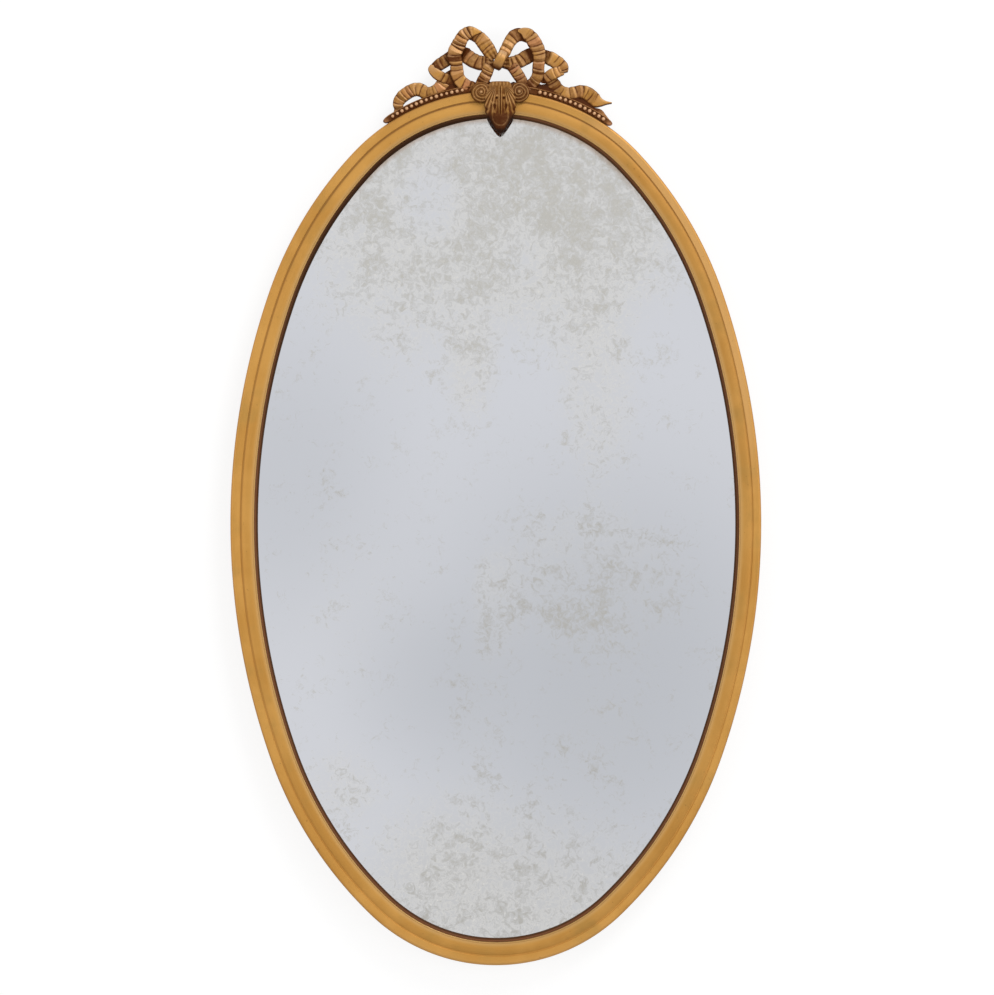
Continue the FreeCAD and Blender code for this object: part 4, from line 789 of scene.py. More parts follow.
def gilt_moulding(colours):
    """Oil gilding on gesso: cloudy gold, streaks along the moulding, worn clay showing, umber in hollows with
    painted shade, and painted light on paler stretches.
    """
    finish = Finish("gilt moulding")
    along = finish.add("ShaderNodeCombineXYZ", {0: finish.painted("along"), 1: finish.painted("across")})
    lay = finish.add("ShaderNodeMapping", {"Vector": along, "Scale": (14, 420, 1)})
    streak = finish.noise(1, 5, 0.6, place=lay)
    cloud = finish.noise(11, 4, 0.6)
    patch = finish.noise(26, 3, 0.5)
    speck = finish.noise(240, 2, 0.5)
    fine = finish.noise(700, 3, 0.6)
    glaze_and_shade = finish.painted("recess") * cloud.ramp(0.2, 0.8, 0.75, 1) + speck.ramp(0.7, 0.78, 0, 0.3)
    glaze_and_shade = glaze_and_shade.clamped()
    tone = finish.coats(
        colours.gold,
        (cloud.ramp(0.35, 0.68), colours.pale_gold),
        (patch.ramp(0.5, 0.75, 0, 0.7), colours.olive_gold),
        (streak.ramp(0.45, 0.75, 0, 0.35), colours.pale_gold),
        (finish.painted("rubbed") * streak.ramp(0.3, 0.6, 0.35, 1), colours.bole),
        (finish.painted("faded") * 0.8, colours.faded_gold),
        (finish.painted("pale"), colours.painted_light_gold),
        (glaze_and_shade, colours.umber),
    )
    return finish.surface(
        tone,
        Metallic=glaze_and_shade.ramp(0, 1, 0.45, 0.05),
        Specular_IOR_Level=0.2,
        Roughness=cloud.ramp(0.2, 0.8, 0.4, 0.52),
        Normal=finish.relief(streak * 0.6 + fine * 0.4, 0.25 * MM, 0.6),
    )


def gilt_carving(colours):
    """Gilding on carving: brown umber and painted shade in the hollows, paler worn ridges with painted
    highlights, tool marks and near-black painted shade.
    """
    finish = Finish("gilt carving")
    cloud = finish.noise(45, 4, 0.6)
    grain = finish.noise(320, 4, 0.65)
    fine = finish.noise(1500, 2, 0.5)
    glaze_and_shade = (finish.painted("recess") + cloud.ramp(0.2, 0.8, -0.12, 0.18)).clamped()
    glaze_and_shade = (glaze_and_shade + grain.ramp(0.3, 0.8, -0.1, 0.16)).clamped()
    tone = finish.coats(
        colours.carved_gold,
        (cloud.ramp(0.3, 0.7), colours.gold),
        (grain.ramp(0.55, 0.75, 0, 0.5), colours.bole),
        (finish.painted("clay") * 0.7, colours.bole),
        (finish.painted("rubbed") * 0.55, colours.carved_light),
        (glaze_and_shade.ramp(0, 1, 0, 0.97), colours.umber),
        (finish.painted("soot"), colours.soot),
    )
    return finish.surface(
        tone,
        Metallic=glaze_and_shade.ramp(0, 1, 0.26, 0.02),
        Specular_IOR_Level=0.09,
        Roughness=glaze_and_shade.ramp(0, 1, 0.4, 0.62),
        Normal=finish.relief(grain * 0.7 + fine * 0.3, 0.35 * MM, 0.7),
    )


def dark_slip(colours):
    """Stained slip with a dull polish, paler along its rubbed outer part."""
    finish = Finish("dark slip")
    streak = finish.noise(60, 4, 0.6)
    fine = finish.noise(500, 3, 0.6)
    tone = finish.coats(
        colours.slip_brown,
        (streak.ramp(0.3, 0.7, 0, 0.4), colours.umber),
        (finish.painted("rubbed"), colours.bole),
        (finish.painted("soot"), colours.soot),
    )
    return finish.surface(
        tone,
        Specular_IOR_Level=0.06,
        Roughness=fine.ramp(0.2, 0.8, 0.42, 0.6),
        Normal=finish.relief(fine, 0.2 * MM, 0.5),
    )


def aged_silver(colours):
    """Old silvering: clear mirror, and cloudy speckled foxing that thickens at the top and the foot.

    The foxing's cover is a sum of soft spots over the plate. Cloudy noise at two scales is cut off at a
    level that falls as the cover rises, so the clouds crowd together where it is high.
    """
    finish = Finish("aged silver")
    cover = finish.spots(FOXED_SPOTS, 0.8)
    dim = finish.spots(DIMMED_SPOTS, 0.9).clamped()
    speck = finish.noise(230, 3, 0.65)
    level = finish.noise(26, 4, 0.6) * 0.37 + finish.noise(112, 5, 0.72, 0.9) * 0.63 + cover * 0.12
    stain = (level.ramp(0.54, 0.74, 0, 0.9) + cover * 0.03).clamped()
    clear = dim.ramp(0, 0.7, 1, 0.1)
    rims = level.ramp(0.52, 0.55) * level.ramp(0.6, 0.57)
    light = (rims * 0.35 + speck.ramp(0.55, 0.72, 0, 0.55)).clamped() * cover.ramp(0, 0.8) * clear
    height = finish.split(finish.places())[2]
    from_arc = finish.places((1, 0, 1), (-SIGHT_DRIFT, 0, -OVAL.centres[2, 1]))
    reach = finish.add("ShaderNodeVectorMath", {0: from_arc}, "Value", operation="LENGTH")
    sight = OVAL.radii[2] - SIGHT_INSET * MM
    # Painted reflection and shadow of the frame: browner silvering within 8 mm of the sight edge at the top.
    frame_reflection = reach.ramp(sight - 8 * MM, sight, 0, 0.6) * height.ramp(0.4, 0.47)
    grey = finish.coats(colours.haze, (height.ramp(-0.28, -0.46), colours.foot_haze))
    cloud = finish.coats(colours.foxing, (dim.ramp(0, 0.6), colours.dim_foxing))
    tone = finish.coats(
        colours.silver,
        (dim, colours.dim_silver),
        (cover.ramp(0.1, 1, 0, 0.75) * clear, grey),
        (stain, cloud),
        (light, colours.rim),
        (frame_reflection, colours.tan),
    )
    return finish.surface(
        tone,
        Metallic=stain.ramp(0, 1, 1, 0.85),
        Specular_IOR_Level=0.1,
        Roughness=stain.ramp(0, 1, 0.05, 0.25),
    )


def pine_wood(colours, name, stretch=None, shift=0.0, shade=0.0):
    """Planed pine: long cloudy grain lines, a few darker streaks and dust.

    Without a stretch the grain follows the oval: one coordinate is the angle round the middle. The shift
    moves the grain, and the shade darkens it.
    """
    finish = Finish(name)
    if stretch:
        place = finish.places(stretch, (shift, shift, shift))
    else:
        right, back, up = finish.split(finish.places((1, 1, 0.6)))
        reach = (right * right + up * up).math("POWER", 0.5)
        place = finish.add("ShaderNodeCombineXYZ", {0: reach * 60, 1: back, 2: up.math("ARCTAN2", right)})
    grain = finish.noise(4, 6, 0.6, 0.4, place)
    wave = {"Vector": place, "Scale": 0.8, "Distortion": 6, "Detail": 3, "Detail Scale": 1.2}
    lines = finish.add("ShaderNodeTexWave", wave, "Fac")
    dust = finish.noise(9, 4, 0.6)
    fine = finish.noise(400, 3, 0.6)
    tone = finish.coats(
        colours.pine,
        (grain.ramp(0.35, 0.7, shade, 1), colours.pine_grain),
        (lines.ramp(0.6, 0.95) * 0.4, colours.pine_grain),
        (dust.ramp(0.5, 0.8, 0, 0.4), colours.beech),
    )
    return finish.surface(
        tone,
        Roughness=fine.ramp(0.2, 0.8, 0.62, 0.82),
        Normal=finish.relief(grain * 0.6 + fine * 0.4, 0.4 * MM, 0.6),
    )


def felt_cloth(name, tone, dark):
    """Pressed felt: matted fibres in two scales of noise, with a soft nap."""
    finish = Finish(name)
    fibre = finish.noise(900, 5, 0.7, 1.5)
    matted = fibre * 0.6 + finish.noise(120, 4, 0.6) * 0.4
    return finish.surface(
        finish.coats(dark, (matted.ramp(0.35, 0.65), tone)),
        Roughness=0.95,
        Sheen_Weight=0.3,
        Sheen_Roughness=0.5,
        Normal=finish.relief(fibre, 0.5 * MM, 0.8),
    )


def old_metal(name, tone, tarnish, polish):
    """Turned or stamped metal with tarnish in clouds and fine scratches."""
    finish = Finish(name)
    cloud = finish.noise(90, 4, 0.6)
    scratch = finish.noise(2600, 3, 0.6, place=finish.places((1, 1, 0.06)))
    return finish.surface(
        finish.coats(tone, (cloud.ramp(0.35, 0.75, 0.05, 0.75), tarnish)),
        Metallic=1.0,
        Roughness=cloud.ramp(0.3, 0.8, polish, polish + 0.25),
        Normal=finish.relief(scratch, 0.08 * MM, 0.5),
    )


# Pieces


def make_moulding(scene):
    """Four lengths of gilded moulding, each the drawn section carried along its part of the oval."""
    section = drawn(MOULDING_START, MOULDING_STROKES)
    inset, forward = section.T / MM
    seen = forward > HIDDEN_LEVEL
    groove = bump(inset, GROOVE_INSET, 1.0) * seen
    beside = 0.16 * np.exp(-np.abs(inset - 13.2) / 2) * (inset > 13) * seen
    quirk = 0.2 * bump(inset, 27.45, 0.3) * seen
    hidden = 0.7 * smooth_step(HIDDEN_LEVEL + 3, HIDDEN_LEVEL, forward) * (inset > 20)
    rubbed = 0.25 * bump(inset, 0.8, 1.2) * seen
    faded = smooth_step(22, 28, inset) * seen
    outer_band = smooth_step(0.5, 5, inset) * smooth_step(12, 11, inset) * seen
    inner_band = smooth_step(13, 14.5, inset) * smooth_step(28, 22, inset) * seen
    outer_edge = np.exp(-inset / 3) * seen
    # Painted shade cast by the crest rail, fading inwards from the outer edge.
    rail_shade = np.exp(-inset / 2.2) * seen
    steps = np.hypot(*np.diff(section, axis=0, prepend=section[:1]).T)
    material = gilt_moulding(scene.mirror_colours)
    for node, (start, end) in MOULDING_LENGTHS.items():
        angles, along = OVAL.angles(start, end, scene.mirror_sizes.path_step)
        right, up = OVAL.point(angles, 0)
        under_rail = smooth_step(0, 4 * MM, np.minimum(right - RAIL_LEFT, RAIL_RIGHT - right)) * (up > 0)
        turn = np.radians(angles)[:, None]
        # Painted shade: the groove and the strip beside it are darkest at the top, less on the left, little
        # on the right and not at all at the foot, as light from above falls.
        painted_shade_weight = np.clip(0.47 + 0.83 * np.sin(turn) - 0.17 * np.cos(turn), 0, None)
        upper_right = stretch_of(angles, UPPER_RIGHT, 0.84, 0.93)
        right_side = stretch_of(angles, RIGHT_SIDE, -0.3, 0.6)
        # Painted light: the outer band paler at the upper right, and the outer edge paler at the foot.
        pale = 0.85 * upper_right * outer_band + 0.9 * stretch_of(angles, FOOT, 0.6, 1) * outer_edge
        recess = painted_shade_weight * (0.6 * groove + beside) + quirk + hidden + 0.6 * under_rail[:, None] * rail_shade
        # Painted shade: the inner band darker on the right side and at the upper right.
        recess = recess + (0.1 * right_side + 0.06 * upper_right) * inner_band
        shell = tube(carried(section, angles), along=along[:, None], across=np.cumsum(steps),
                     recess=unit(recess), rubbed=rubbed, faded=faded, pale=pale)
        make_piece(node.replace("frame", "moulding"), shell, material, [node], 28)


def make_glass(scene):
    """The dark slip, carried all round, and the finish of the mirror plate."""
    section = drawn(SLIP_START, SLIP_STROKES)
    angles = OVAL.angles(0, FULL_TURN, scene.mirror_sizes.path_step)[0][:-1]
    inset = section[:, 0] / MM
    # Painted shade on the slip's upper left: the slip is widened there and darkened.
    painted_shade_weight = stretch_of(angles, UPPER_LEFT, 0.6, 0.97)
    widened = np.repeat(section[None], len(angles), axis=0)
    widened[..., 0] += 0.9 * MM * painted_shade_weight * smooth_step(31, 33, inset)
    rings = carried(widened, angles)
    shell = tube(rings, closed=True, rubbed=0.35 * bump(inset, 30.2, 0.9), soot=0.65 * painted_shade_weight)
    make_piece("stained_slip", shell, dark_slip(scene.mirror_colours), ["sight_slip"], 28)
    finish_nodes(aged_silver(scene.mirror_colours), "mirror_plate")


def make_rail(material):
    """The crest rail: its section carried along the edge, drawn in at the ends, with webs behind the ribbon.

    The upper rear part of the section is raised by a bell at each web.
    """
    right_end = OVAL.top_angle(RAIL_RIGHT - RAIL_SHORT_RIGHT)
    left_end = OVAL.top_angle(RAIL_LEFT + RAIL_SHORT_LEFT)
    angles, along = OVAL.angles(right_end, left_end, RAIL_STEP)
    across = OVAL.point(angles, 0)[0][:, None] / MM
    webs = sum(height * bump(across, place, reach) for place, reach, height, _ in RAIL_WEBS) * MM
    soot = sum(share * bump(across, place, 1.5 * reach) for place, reach, _, share in RAIL_WEBS)
    rise, forward = drawn(RAIL_START, RAIL_STROKES).T
    crown = RAIL_CROWN + webs
    rises = (np.tile(rise, (len(angles), 1)), crown, crown, np.full_like(crown, RAIL_FOOT))
    rise = np.concatenate(rises, axis=1)
    forward = np.append(forward, [RAIL_WEB, RAIL_BACK, RAIL_FOOT + RAIL_BACK])
    from_end = np.minimum(along - along[0], along[-1] - along)[:, None]
    nose = np.sqrt(np.clip(1 - (1 - unit(from_end / RAIL_NOSE)) ** 2, 0.01, 1))
    rise = RAIL_MIDDLE + (rise - RAIL_MIDDLE) * nose
    forward = RAIL_BACK + (forward - RAIL_BACK) * (0.75 + 0.25 * nose)
    right, up = OVAL.point(angles[:, None], -rise)
    level = rise / MM
    tip = smooth_step(9 * MM, 2 * MM, from_end)
    channel = smooth_step(7.6, 6.8, level) + 0.5 * bump(level, 0.5, 0.8)
    # Painted shade on the rail's rear faces behind the ribbon, and umber in the channel below the lip.
    behind = smooth_step(25, 22.5, forward / MM) * smooth_step(134, 112, across)
    recess = 0.5 + 0.32 * channel * (1 - tip) - 0.15 * tip + behind * (1 - 0.6 * tip)
    rubbed = bump(level, 7.8, 0.6) * 0.15 + 0.2 * tip
    # Painted shade in the webs, where the ribbon overhangs the rail.
    soot = unit(0.7 * soot * smooth_step(9.5, 11, level))
    rings = placed(right, forward, up)
    shell = tube(rings, recess=unit(recess), rubbed=rubbed, clay=0.3 + 0.6 * tip, soot=soot)
    make_piece("carved_rail", shell, material, ["crest_rail"])


def make_beads(sizes, material):
    """Two rows of beads: each a dome of revolution, a little flattened, with sizes that vary slightly."""
    rng = np.random.default_rng(11)
    lean = np.linspace(0.02, np.pi - 0.02, 9)[:, None]
    turn = np.linspace(0, 2 * np.pi, sizes.bead_sides, endpoint=False)[None]
    # Painted shade round each bead's sides and foot against the rail, and a painted highlight on its front.
    glaze_and_shade = 0.9 * smooth_step(0.45, 0.05, np.cos(lean))
    shine = smooth_step(0.3, 0.8, np.cos(lean))
    step = sizes.bead_pitch * OVAL.radii[2] / (OVAL.radii[2] + sizes.bead_rise)
    for node in ("bead_row_left", "bead_row_right"):
        low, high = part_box(node)
        left, right = (BEAD_INNER, BEAD_OUTER) if low.x > 0 else (BEAD_OUTER, BEAD_INNER)
        angles, _ = OVAL.angles(OVAL.top_angle(high.x - right), OVAL.top_angle(low.x + left), step)
        radii = sizes.bead_radius * rng.uniform(0.86, 1.1, len(angles))
        beads = []
        for across, up, radius in zip(*OVAL.point(angles, -sizes.bead_rise), radii):
            reach = radius * np.sin(lean) * (1 + 0.05 * np.sin(lean))
            forward = BEAD_LEVEL + 0.92 * radius * np.cos(lean)
            rings = placed(across + reach * np.cos(turn), forward, up + reach * np.sin(turn))
            beads.append(tube(rings, recess=glaze_and_shade, rubbed=shine, clay=0.75))
        make_piece(node.replace("bead_row", "beads"), joined(beads), material, [node], 60)


def make_ribbons(sizes, material):
    """The bow: two loops of two strips each, strands, folds, tails, stems and the wrap over the knot."""
    strips = {
        "loop_left": joined([
            ribbon(LOOP_LEFT_INNER, sizes, back=19.2, seed=3, pleats=0.8, calm=(6, 0), gathers=2.0),
            ribbon(LOOP_LEFT_OUTER, sizes, back=19.5, seed=5, pleats=1.1, calm=(12, 0)),
        ]),
        "loop_right": joined([
            ribbon(LOOP_RIGHT_INNER, sizes, back=18.9, seed=8, pleats=0.8, calm=(6, 18), gathers=2.0),
            ribbon(LOOP_RIGHT_OUTER, sizes, back=19.5, seed=13, calm=(14, 0)),
        ]),
        "strand_left": ribbon(STRAND_LEFT, sizes, back=12.9, seed=21, calm=(5, 10), gathers=1.5),
        "strand_right": ribbon(STRAND_RIGHT, sizes, back=13.2, seed=34, calm=(5, 0), gathers=1.5),
        "fold_left": ribbon(FOLD_LEFT, sizes, back=18.6, seed=4, pleats=0.8, calm=(20, 0)),
        "fold_right": ribbon(FOLD_RIGHT, sizes, back=18.6, seed=6, pleats=0.9, calm=(4, 0)),
        "tail_left": ribbon(TAIL_LEFT, sizes, back=12.4, seed=7, pleats=0.8),
        "tail_right": ribbon(TAIL_RIGHT, sizes, back=12.4, seed=9, pleats=0.95, calm=(0, 22)),
        "stem_left": ribbon(STEM_LEFT, sizes, back=18.3, seed=10),
        "stem_right": ribbon(STEM_RIGHT, sizes, back=18.3, seed=12),
        "knot": ribbon(KNOT, sizes, back=18, seed=14, pleats=0.0, gathers=0.8),
    }
    for name, shell in strips.items():
        make_piece(f"carved_{name}", shell, material, [f"ribbon_{name}"], 32)


def hollows(relief, rounds):
    """How far each point of a relief lies below its surroundings, by repeated averaging with neighbours."""
    spread = relief
    for _ in range(rounds):
        padded = np.pad(spread, 1, mode="edge")
        spread = (padded[:-2, 1:-1] + padded[2:, 1:-1] + padded[1:-1, :-2] + padded[1:-1, 2:]) / 4
    return spread - relief


def make_leaf(material):
    """The acanthus leaf: a crowned shield with two fans of ridges, a double midrib, drilled eyes, a tongue.

    A point is (height, v), v from -1 to 1 across the half width at that height. Each fan's ridges are
    peaks of a cosine in the angle about a point near the leaf's upper corner. Millimetres.
    """
    middle = (LEAF_LOW.x + LEAF_HIGH.x) / 2 + CREST_SHIFT[0] * MM
    edge = OVAL.top_edge(middle) + CREST_SHIFT[1] * MM
    height = np.linspace(LEAF_HEIGHTS[-1], LEAF_HEIGHTS[0], 150)[:, None]
    v = np.linspace(-1, 1, 121)[None]
    upper = smooth_step(-36, -28, height)
    tongue = 1 - upper
    lobes = 0.6 * np.cos((height + 2) * 2 * np.pi / 9) * upper * smooth_step(4, -2, height)
    half = np.interp(height, LEAF_HEIGHTS, LEAF_HALF_WIDTHS) + lobes
    across = v * half
    beside = np.abs(across)
    aside, fall = beside - 4.6, 6.5 - height
    reach = np.hypot(aside, fall)
    angle = np.degrees(np.arctan2(aside, fall)) + 0.1 * reach
    crown = 30.5 + 6.5 * np.sqrt(unit(1 - v ** 2))
    crown = crown + 1.5 * bump(height, -18, 20) - 3.5 * smooth_step(-46, -57, height)
    rib = bump(beside, 1.5, 0.6) - 0.6 * bump(beside, 0, 0.5)
    rib = rib * smooth_step(6, 0, height) * smooth_step(-34, -30, height)
    eyes = bump(beside, 4.6, 1.1) * bump(height, -11, 1.0)
    brows = bump(beside, 4.3, 1.4) * bump(height, -8, 1.2)
    pocket = np.hypot((beside - 7.2 - 0.12 * (height + 21.5)) / 2.6, (height + 21.5) / 4)
    pockets = smooth_step(1.1, 0.4, pocket)
    fan = (0.5 + 0.5 * np.cos((angle - 12) * 2 * np.pi / 10)) ** 1.5
    fan = fan * smooth_step(4, 9, angle) * smooth_step(64, 54, angle) * smooth_step(2.5, 8, reach)
    fan = fan * upper * (1 - 0.8 * pockets)
    outer_line = bump(beside, 9.2 + 0.28 * (height + 22), 0.7)
    inner_line = bump(beside, 5.2 - 0.09 * (height + 22), 0.6)
    veins = np.maximum(outer_line, inner_line) * smooth_step(-32, -29, height) * smooth_step(-13, -17, height)
    flutes = (0.5 + 0.5 * np.cos(across * 2 * np.pi / 4.6)) ** 1.5 * smooth_step(3, 7, height)
    cuts = bump(beside, 17, 2.2) * bump(height, -25.5, 2.2)
    cup = np.hypot(across / 10.2, (height + 34) / 12)
    outline = bump(cup, 1, 0.08) * smooth_step(-31, -36, height)
    belly = unit(1 - cup ** 2) * tongue
    rim = unit((np.abs(v) - 0.9) / 0.1)
    front = crown + 1.3 * fan + 1.1 * rib - 2.4 * eyes + 1.2 * brows - 1.3 * pockets + 0.8 * veins
    front = front + 0.5 * flutes - 1.8 * cuts + 0.7 * outline + 1.8 * belly - 1.5 * rim ** 2
    deep = unit(hollows(front, 60) * 0.4)
    ridges = np.max([fan, rib, brows, 0.8 * veins, 0.5 * flutes], axis=0)
    # Umber in the hollows, and painted shade: darker down the lower half, on the tongue, in the deep parts
    # and at the rim; ridges and the outline paler.
    glaze_and_shade = 0.56 + 0.22 * smooth_step(-8, -30, height) + 0.15 * tongue + 0.8 * deep + 0.2 * rim
    glaze_and_shade = glaze_and_shade - 0.42 * ridges - 0.3 * outline + 0.4 * eyes + 0.1 * pockets + 0.2 * cuts
    # Worn ridges in the upper part, with a painted highlight on them and on the outline.
    rubbed = 0.45 * ridges * smooth_step(-34, -8, height) + 0.4 * outline
    # Painted shadow: near-black along the lower edges and at the tip, and painted shade on the tongue, the
    # eyes and the cuts.
    edges = 0.75 * smooth_step(0.55, 0.95, np.abs(v)) * smooth_step(-26, -38, height)
    soot = np.maximum(edges, 0.72 * smooth_step(-47.5, -52.5, height))
    soot = soot + 0.2 * tongue + 0.5 * eyes + 0.25 * cuts
    back = np.linspace(1, -1, 9)[None] * 0.98 * half

    def backed(face, rear):
        """Values on the front, followed by one value across the back."""
        return np.concatenate([face, np.full_like(back, rear)], axis=1)

    right = middle + np.concatenate([across, back], axis=1) * MM
    forward = backed(np.maximum(front, LEAF_LEAST), CARVING_BACK) * MM
    rings = placed(right, forward, edge + height * MM)
    paint = {"recess": backed(glaze_and_shade, 1), "rubbed": backed(rubbed, 0), "soot": backed(soot, 0)}
    shell = tube(rings, **{name: unit(value) for name, value in paint.items()})
    make_piece("carved_leaf", shell, material, ["acanthus_leaf"], 50)


def make_scrolls(sizes, material):
    """Two scrolls: low domes whose height rises and falls in a spiral of the radius less the turn."""
    share = np.linspace(0.01, 1, 60)[:, None]
    turn = np.linspace(0, 2 * np.pi, 96, endpoint=False)[None]
    radius = share * sizes.scroll_radius
    eye = unit(1 - (radius / (2.7 * MM)) ** 2)
    for node, (across, rise, hand, shade) in SCROLL_PLACES.items():
        phase = radius / sizes.scroll_pitch - hand * (turn + 0.9) / (2 * np.pi)
        phase = phase + 0.07 * np.sin(3 * turn + across)
        ridge = (0.5 + 0.5 * np.cos(2 * np.pi * phase)) ** 2 * smooth_step(2.4, 3.6, radius / MM)
        rim = unit((share - 0.93) / 0.07) ** 2
        front = 31 + 3.2 * (1 - share ** 2) + 1.7 * ridge + 2.4 * eye - 2.5 * rim
        glaze_and_shade = unit(0.66 + shade - 0.42 * ridge - 0.6 * eye + 0.2 * (share > 0.97))
        rubbed = unit(0.35 * ridge + 0.8 * eye)
        x = (across + CREST_SHIFT[0]) * MM + radius * np.cos(turn)
        z = OVAL.top_edge(across * MM) + (rise + CREST_SHIFT[1]) * MM + radius * np.sin(turn)
        rings = placed(x, front * MM, z)
        base = rings[-1:].copy()
        base[..., 1] = -CARVING_BACK * MM
        shell = tube(
            np.concatenate([rings, base]),
            recess=np.vstack([glaze_and_shade, np.ones_like(turn)]),
            rubbed=np.vstack([rubbed, np.zeros_like(turn)]),
        )
        make_piece(f"carved_{node}", shell, material, [node], 50)


def finish_nodes(material, *names):
    """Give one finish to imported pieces."""
    for name in names:
        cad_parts[name].material_slots[0].material = material


def named(start):
    """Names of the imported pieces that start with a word."""
    return [name for name in sorted(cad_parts) if name.startswith(start)]


def finish_back(colours):
    """Finishes of the wooden back, the felt and what lies inside."""
    for number, board in enumerate(named("backboard")):
        shade = 0.55 * (number % 2)
        pine = pine_wood(colours, f"pine board {number + 1}", (22, 22, 1.6), 7.3 * number, shade)
        finish_nodes(pine, board)
    rails = [name for name in named("back_rail") if not name.endswith("screws")]
    finish_nodes(pine_wood(colours, "pine rails"), *rails)
    beech = pine_wood(colours, "beech pegs", (60, 60, 60))
    finish_nodes(beech, "joint_dowels", "crest_pegs", "leaf_peg", "glass_shims")
    finish_nodes(felt_cloth("grey felt", colours.felt, GREY_FIBRE), "backing_felt")


def finish_hardware(colours):
    """Finishes of the turn buttons, hangers, screws and bumpers."""
    brass = old_metal("old brass", colours.brass, colours.brass_tarnish, 0.28)
    finish_nodes(brass, *[name for name in named("turn_button") if not name.endswith("screws")])
    finish_nodes(brass, *named("hanger_strap"), *named("hanger_ring"))
    steel = old_metal("dull steel", colours.steel, colours.steel_tarnish, 0.34)
    finish_nodes(steel, "back_rail_screws", "turn_button_screws", "hanger_screws")
    finish_nodes(felt_cloth("brown felt", colours.bumper, BROWN_FIBRE), "wall_bumpers")


# Stage


def make_plane(name, corners, material):
    """A flat stage surface from four corners."""
    mesh = bpy.data.meshes.new(name)
    mesh.from_pydata(corners, [], [(0, 1, 2, 3)])
    mesh.materials.append(material)
    plane = bpy.data.objects.new(name, mesh)
    bpy.context.scene.collection.objects.link(plane)
    return plane


def make_lamp(name, place, aim, size, power):
    """A square lamp at a place, turned to what it lights."""
    lamp = bpy.data.lights.new(name, "AREA")
    lamp.size = size
    lamp.energy = power
    light = bpy.data.objects.new(name, lamp)
    away = np.array(place) - np.array(aim)
    light.location = place
    light.rotation_euler = (math.acos(away[2] / np.linalg.norm(away)), 0, math.atan2(away[0], -away[1]))
    bpy.context.scene.collection.objects.link(light)


def floor_finish():
    """Pale painted floor with faint clouds."""
    finish = Finish("pale floor")
    cloud = finish.noise(3, 4, 0.6)
    tone = finish.coats((0.82, 0.82, 0.82), (cloud.ramp(0.3, 0.7), (0.86, 0.86, 0.86)))
    return finish.surface(tone, Roughness=0.8)


def wall_finish():
    """White backdrop that only the camera sees: a glow near white, plus a little of the light on it."""
    finish = Finish("white backdrop")
    glow = finish.add("ShaderNodeEmission", {"Color": (1, 1, 1), "Strength": 0.82})
    lit = finish.add("ShaderNodeBsdfDiffuse", {"Color": (0.24, 0.24, 0.24)})
    both = finish.add("ShaderNodeAddShader", {0: glow, 1: lit})
    clear = finish.add("ShaderNodeBsdfTransparent", {})
    behind = finish.add("ShaderNodeNewGeometry", {}, "Backfacing")
    shown = finish.add("ShaderNodeMixShader", {0: behind, 1: both, 2: clear})
    finish.node("ShaderNodeOutputMaterial", {"Surface": shown})
    return finish.block


def white_surround(sky):
    """A world that is white to the camera and in reflections, and a softer light on everything else."""
    finish = Finish("white surround", "worlds")
    kinds = ("Camera", "Glossy", "Transmission")
    direct, mirrored, through = (finish.add("ShaderNodeLightPath", {}, f"Is {kind} Ray") for kind in kinds)
    seen = direct.math("MAXIMUM", mirrored).math("MAXIMUM", through)
    strength = finish.add("ShaderNodeMapRange", {0: seen, "To Min": sky})
    light = finish.add("ShaderNodeBackground", {"Color": (1, 1, 1), "Strength": strength})
    finish.node("ShaderNodeOutputWorld", {"Surface": light})
    return finish.block


def make_stage(scene):
    """Floor, backdrop, surrounding light, three lamps and the camera, square to the mirror's front."""
    stage = scene.mirror_stage
    scene.view_settings.view_transform = "Standard"
    drop = -stage.floor_drop
    make_plane("pale_floor", [(-5, -4, drop), (5, -4, drop), (5, 5, drop), (-5, 5, drop)], floor_finish())
    rear = REAR_WALL + 1 * MM
    low, high, side = -0.68, 0.75, 0.7
    corners = [(-side, rear, low), (side, rear, low), (side, rear, high), (-side, rear, high)]
    wall = make_plane("white_backdrop", corners, wall_finish())
    for ray in ("diffuse", "glossy", "transmission", "volume_scatter", "shadow"):
        setattr(wall, f"visible_{ray}", False)
    scene.world = white_surround(stage.sky)
    make_lamp("key", (1.4, -2.1, 2.5), (0, 0, 0.1), 1.2, stage.key_power)
    make_lamp("fill_left", (-2.6, -3, 0.2), (0, 0, 0), 1.6, stage.fill_power)
    make_lamp("fill_right", (2.6, -3, 0.2), (0, 0, 0), 1.6, stage.fill_power)
    camera = bpy.data.cameras.new("camera")
    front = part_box("frame_top")[0].y
    camera.sensor_width = SENSOR
    camera.lens = SENSOR * stage.camera_distance / (stage.view_height * max(IMAGE_SIZE) / IMAGE_SIZE[1])
    viewer = bpy.data.objects.new("camera", camera)
    viewer.location = (stage.aim_right, front - stage.camera_distance, stage.aim_up)
    viewer.rotation_euler = (math.pi / 2, 0, 0)
    scene.collection.objects.link(viewer)
    scene.camera = viewer


# Operators and panel


class MIRROR_OT_stage(Operator):
    """Set the floor, backdrop, lamps and camera"""

    bl_idname = "mirror.stage"
    bl_label = "Stage"

    def execute(self, context):
        make_stage(context.scene)
        return {"FINISHED"}


class MIRROR_OT_moulding(Operator):
    """Make the four gilded lengths of moulding"""

    bl_idname = "mirror.moulding"
    bl_label = "Moulding"

    def execute(self, context):
        make_moulding(context.scene)
        return {"FINISHED"}


class MIRROR_OT_glass(Operator):
    """Make the dark slip and silver the plate"""

    bl_idname = "mirror.glass"
    bl_label = "Slip and glass"

    def execute(self, context):
        make_glass(context.scene)
        return {"FINISHED"}


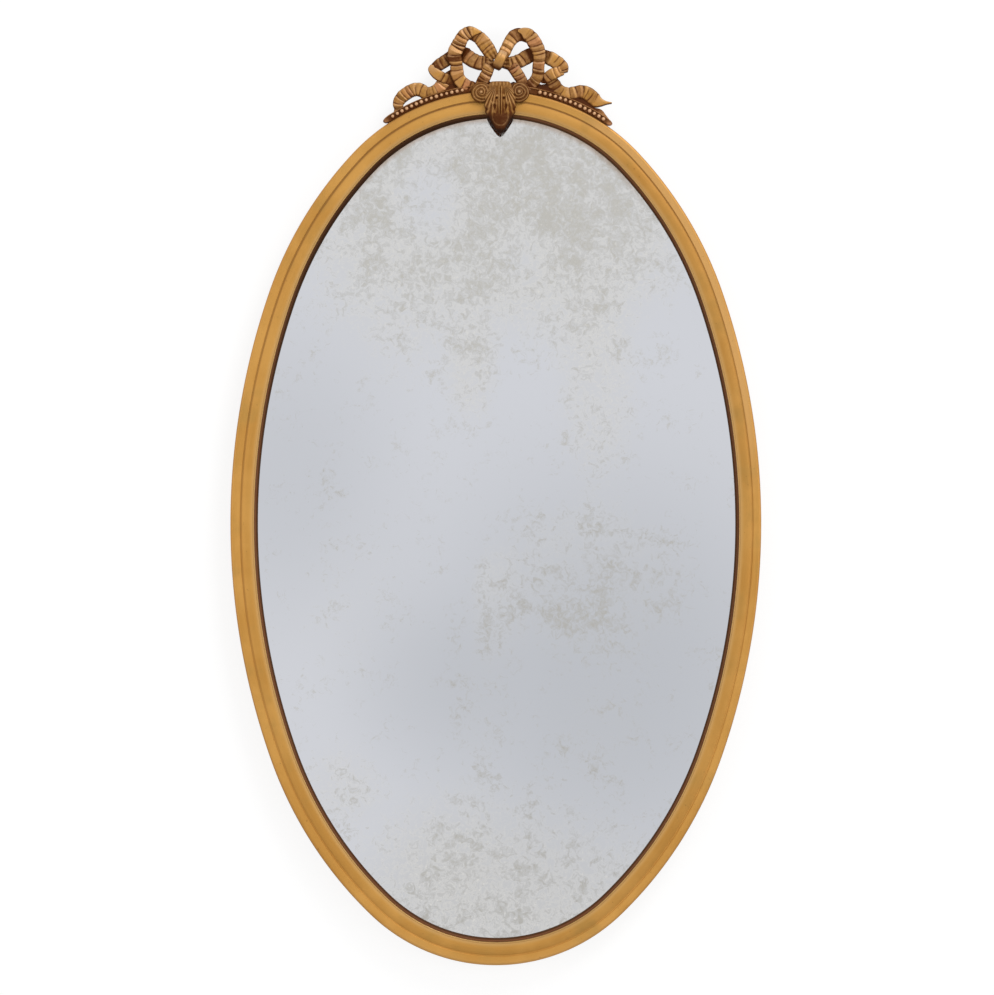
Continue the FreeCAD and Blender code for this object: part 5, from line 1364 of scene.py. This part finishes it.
class MIRROR_OT_crest(Operator):
    """Carve the crest: rail, beads, ribbon, scrolls and leaf"""

    bl_idname = "mirror.crest"
    bl_label = "Crest"

    def execute(self, context):
        sizes = context.scene.mirror_sizes
        material = gilt_carving(context.scene.mirror_colours)
        make_rail(material)
        for make in (make_beads, make_ribbons, make_scrolls):
            make(sizes, material)
        make_leaf(material)
        return {"FINISHED"}


class MIRROR_OT_back(Operator):
    """Finish the wooden back and the felt"""

    bl_idname = "mirror.back"
    bl_label = "Back"

    def execute(self, context):
        finish_back(context.scene.mirror_colours)
        return {"FINISHED"}


class MIRROR_OT_hardware(Operator):
    """Finish the turn buttons, hangers, screws and bumpers"""

    bl_idname = "mirror.hardware"
    bl_label = "Hardware"

    def execute(self, context):
        finish_hardware(context.scene.mirror_colours)
        return {"FINISHED"}


OPERATORS = (
    MIRROR_OT_stage, MIRROR_OT_moulding, MIRROR_OT_glass, MIRROR_OT_crest, MIRROR_OT_back, MIRROR_OT_hardware,
)


class MIRROR_PT_pieces(Panel):
    """The mirror's pieces, with their sizes and colours"""

    bl_label = "Oval mirror"
    bl_space_type = "VIEW_3D"
    bl_region_type = "UI"
    bl_category = "Oval mirror"

    def draw(self, context):
        for operator in OPERATORS:
            self.layout.operator(operator.bl_idname)
        scene = context.scene
        for settings in (scene.mirror_sizes, scene.mirror_colours, scene.mirror_stage):
            for name in type(settings).__annotations__:
                self.layout.prop(settings, name)


GROUPS = {"mirror_sizes": MirrorSizes, "mirror_colours": MirrorColours, "mirror_stage": MirrorStage}


def register():
    """Make the settings, operators and panel known."""
    for name, group in GROUPS.items():
        bpy.utils.register_class(group)
        setattr(bpy.types.Scene, name, PointerProperty(type=group))
    for kind in (*OPERATORS, MIRROR_PT_pieces):
        bpy.utils.register_class(kind)


def unregister():
    """Take them away again."""
    for kind in (MIRROR_PT_pieces, *reversed(OPERATORS)):
        bpy.utils.unregister_class(kind)
    for name, group in GROUPS.items():
        delattr(bpy.types.Scene, name)
        bpy.utils.unregister_class(group)


def main():
    """Run every operator in order."""
    register()
    bpy.ops.mirror.stage()
    bpy.ops.mirror.moulding()
    bpy.ops.mirror.glass()
    bpy.ops.mirror.crest()
    bpy.ops.mirror.back()
    bpy.ops.mirror.hardware()


if __name__ == "__main__":
    main()
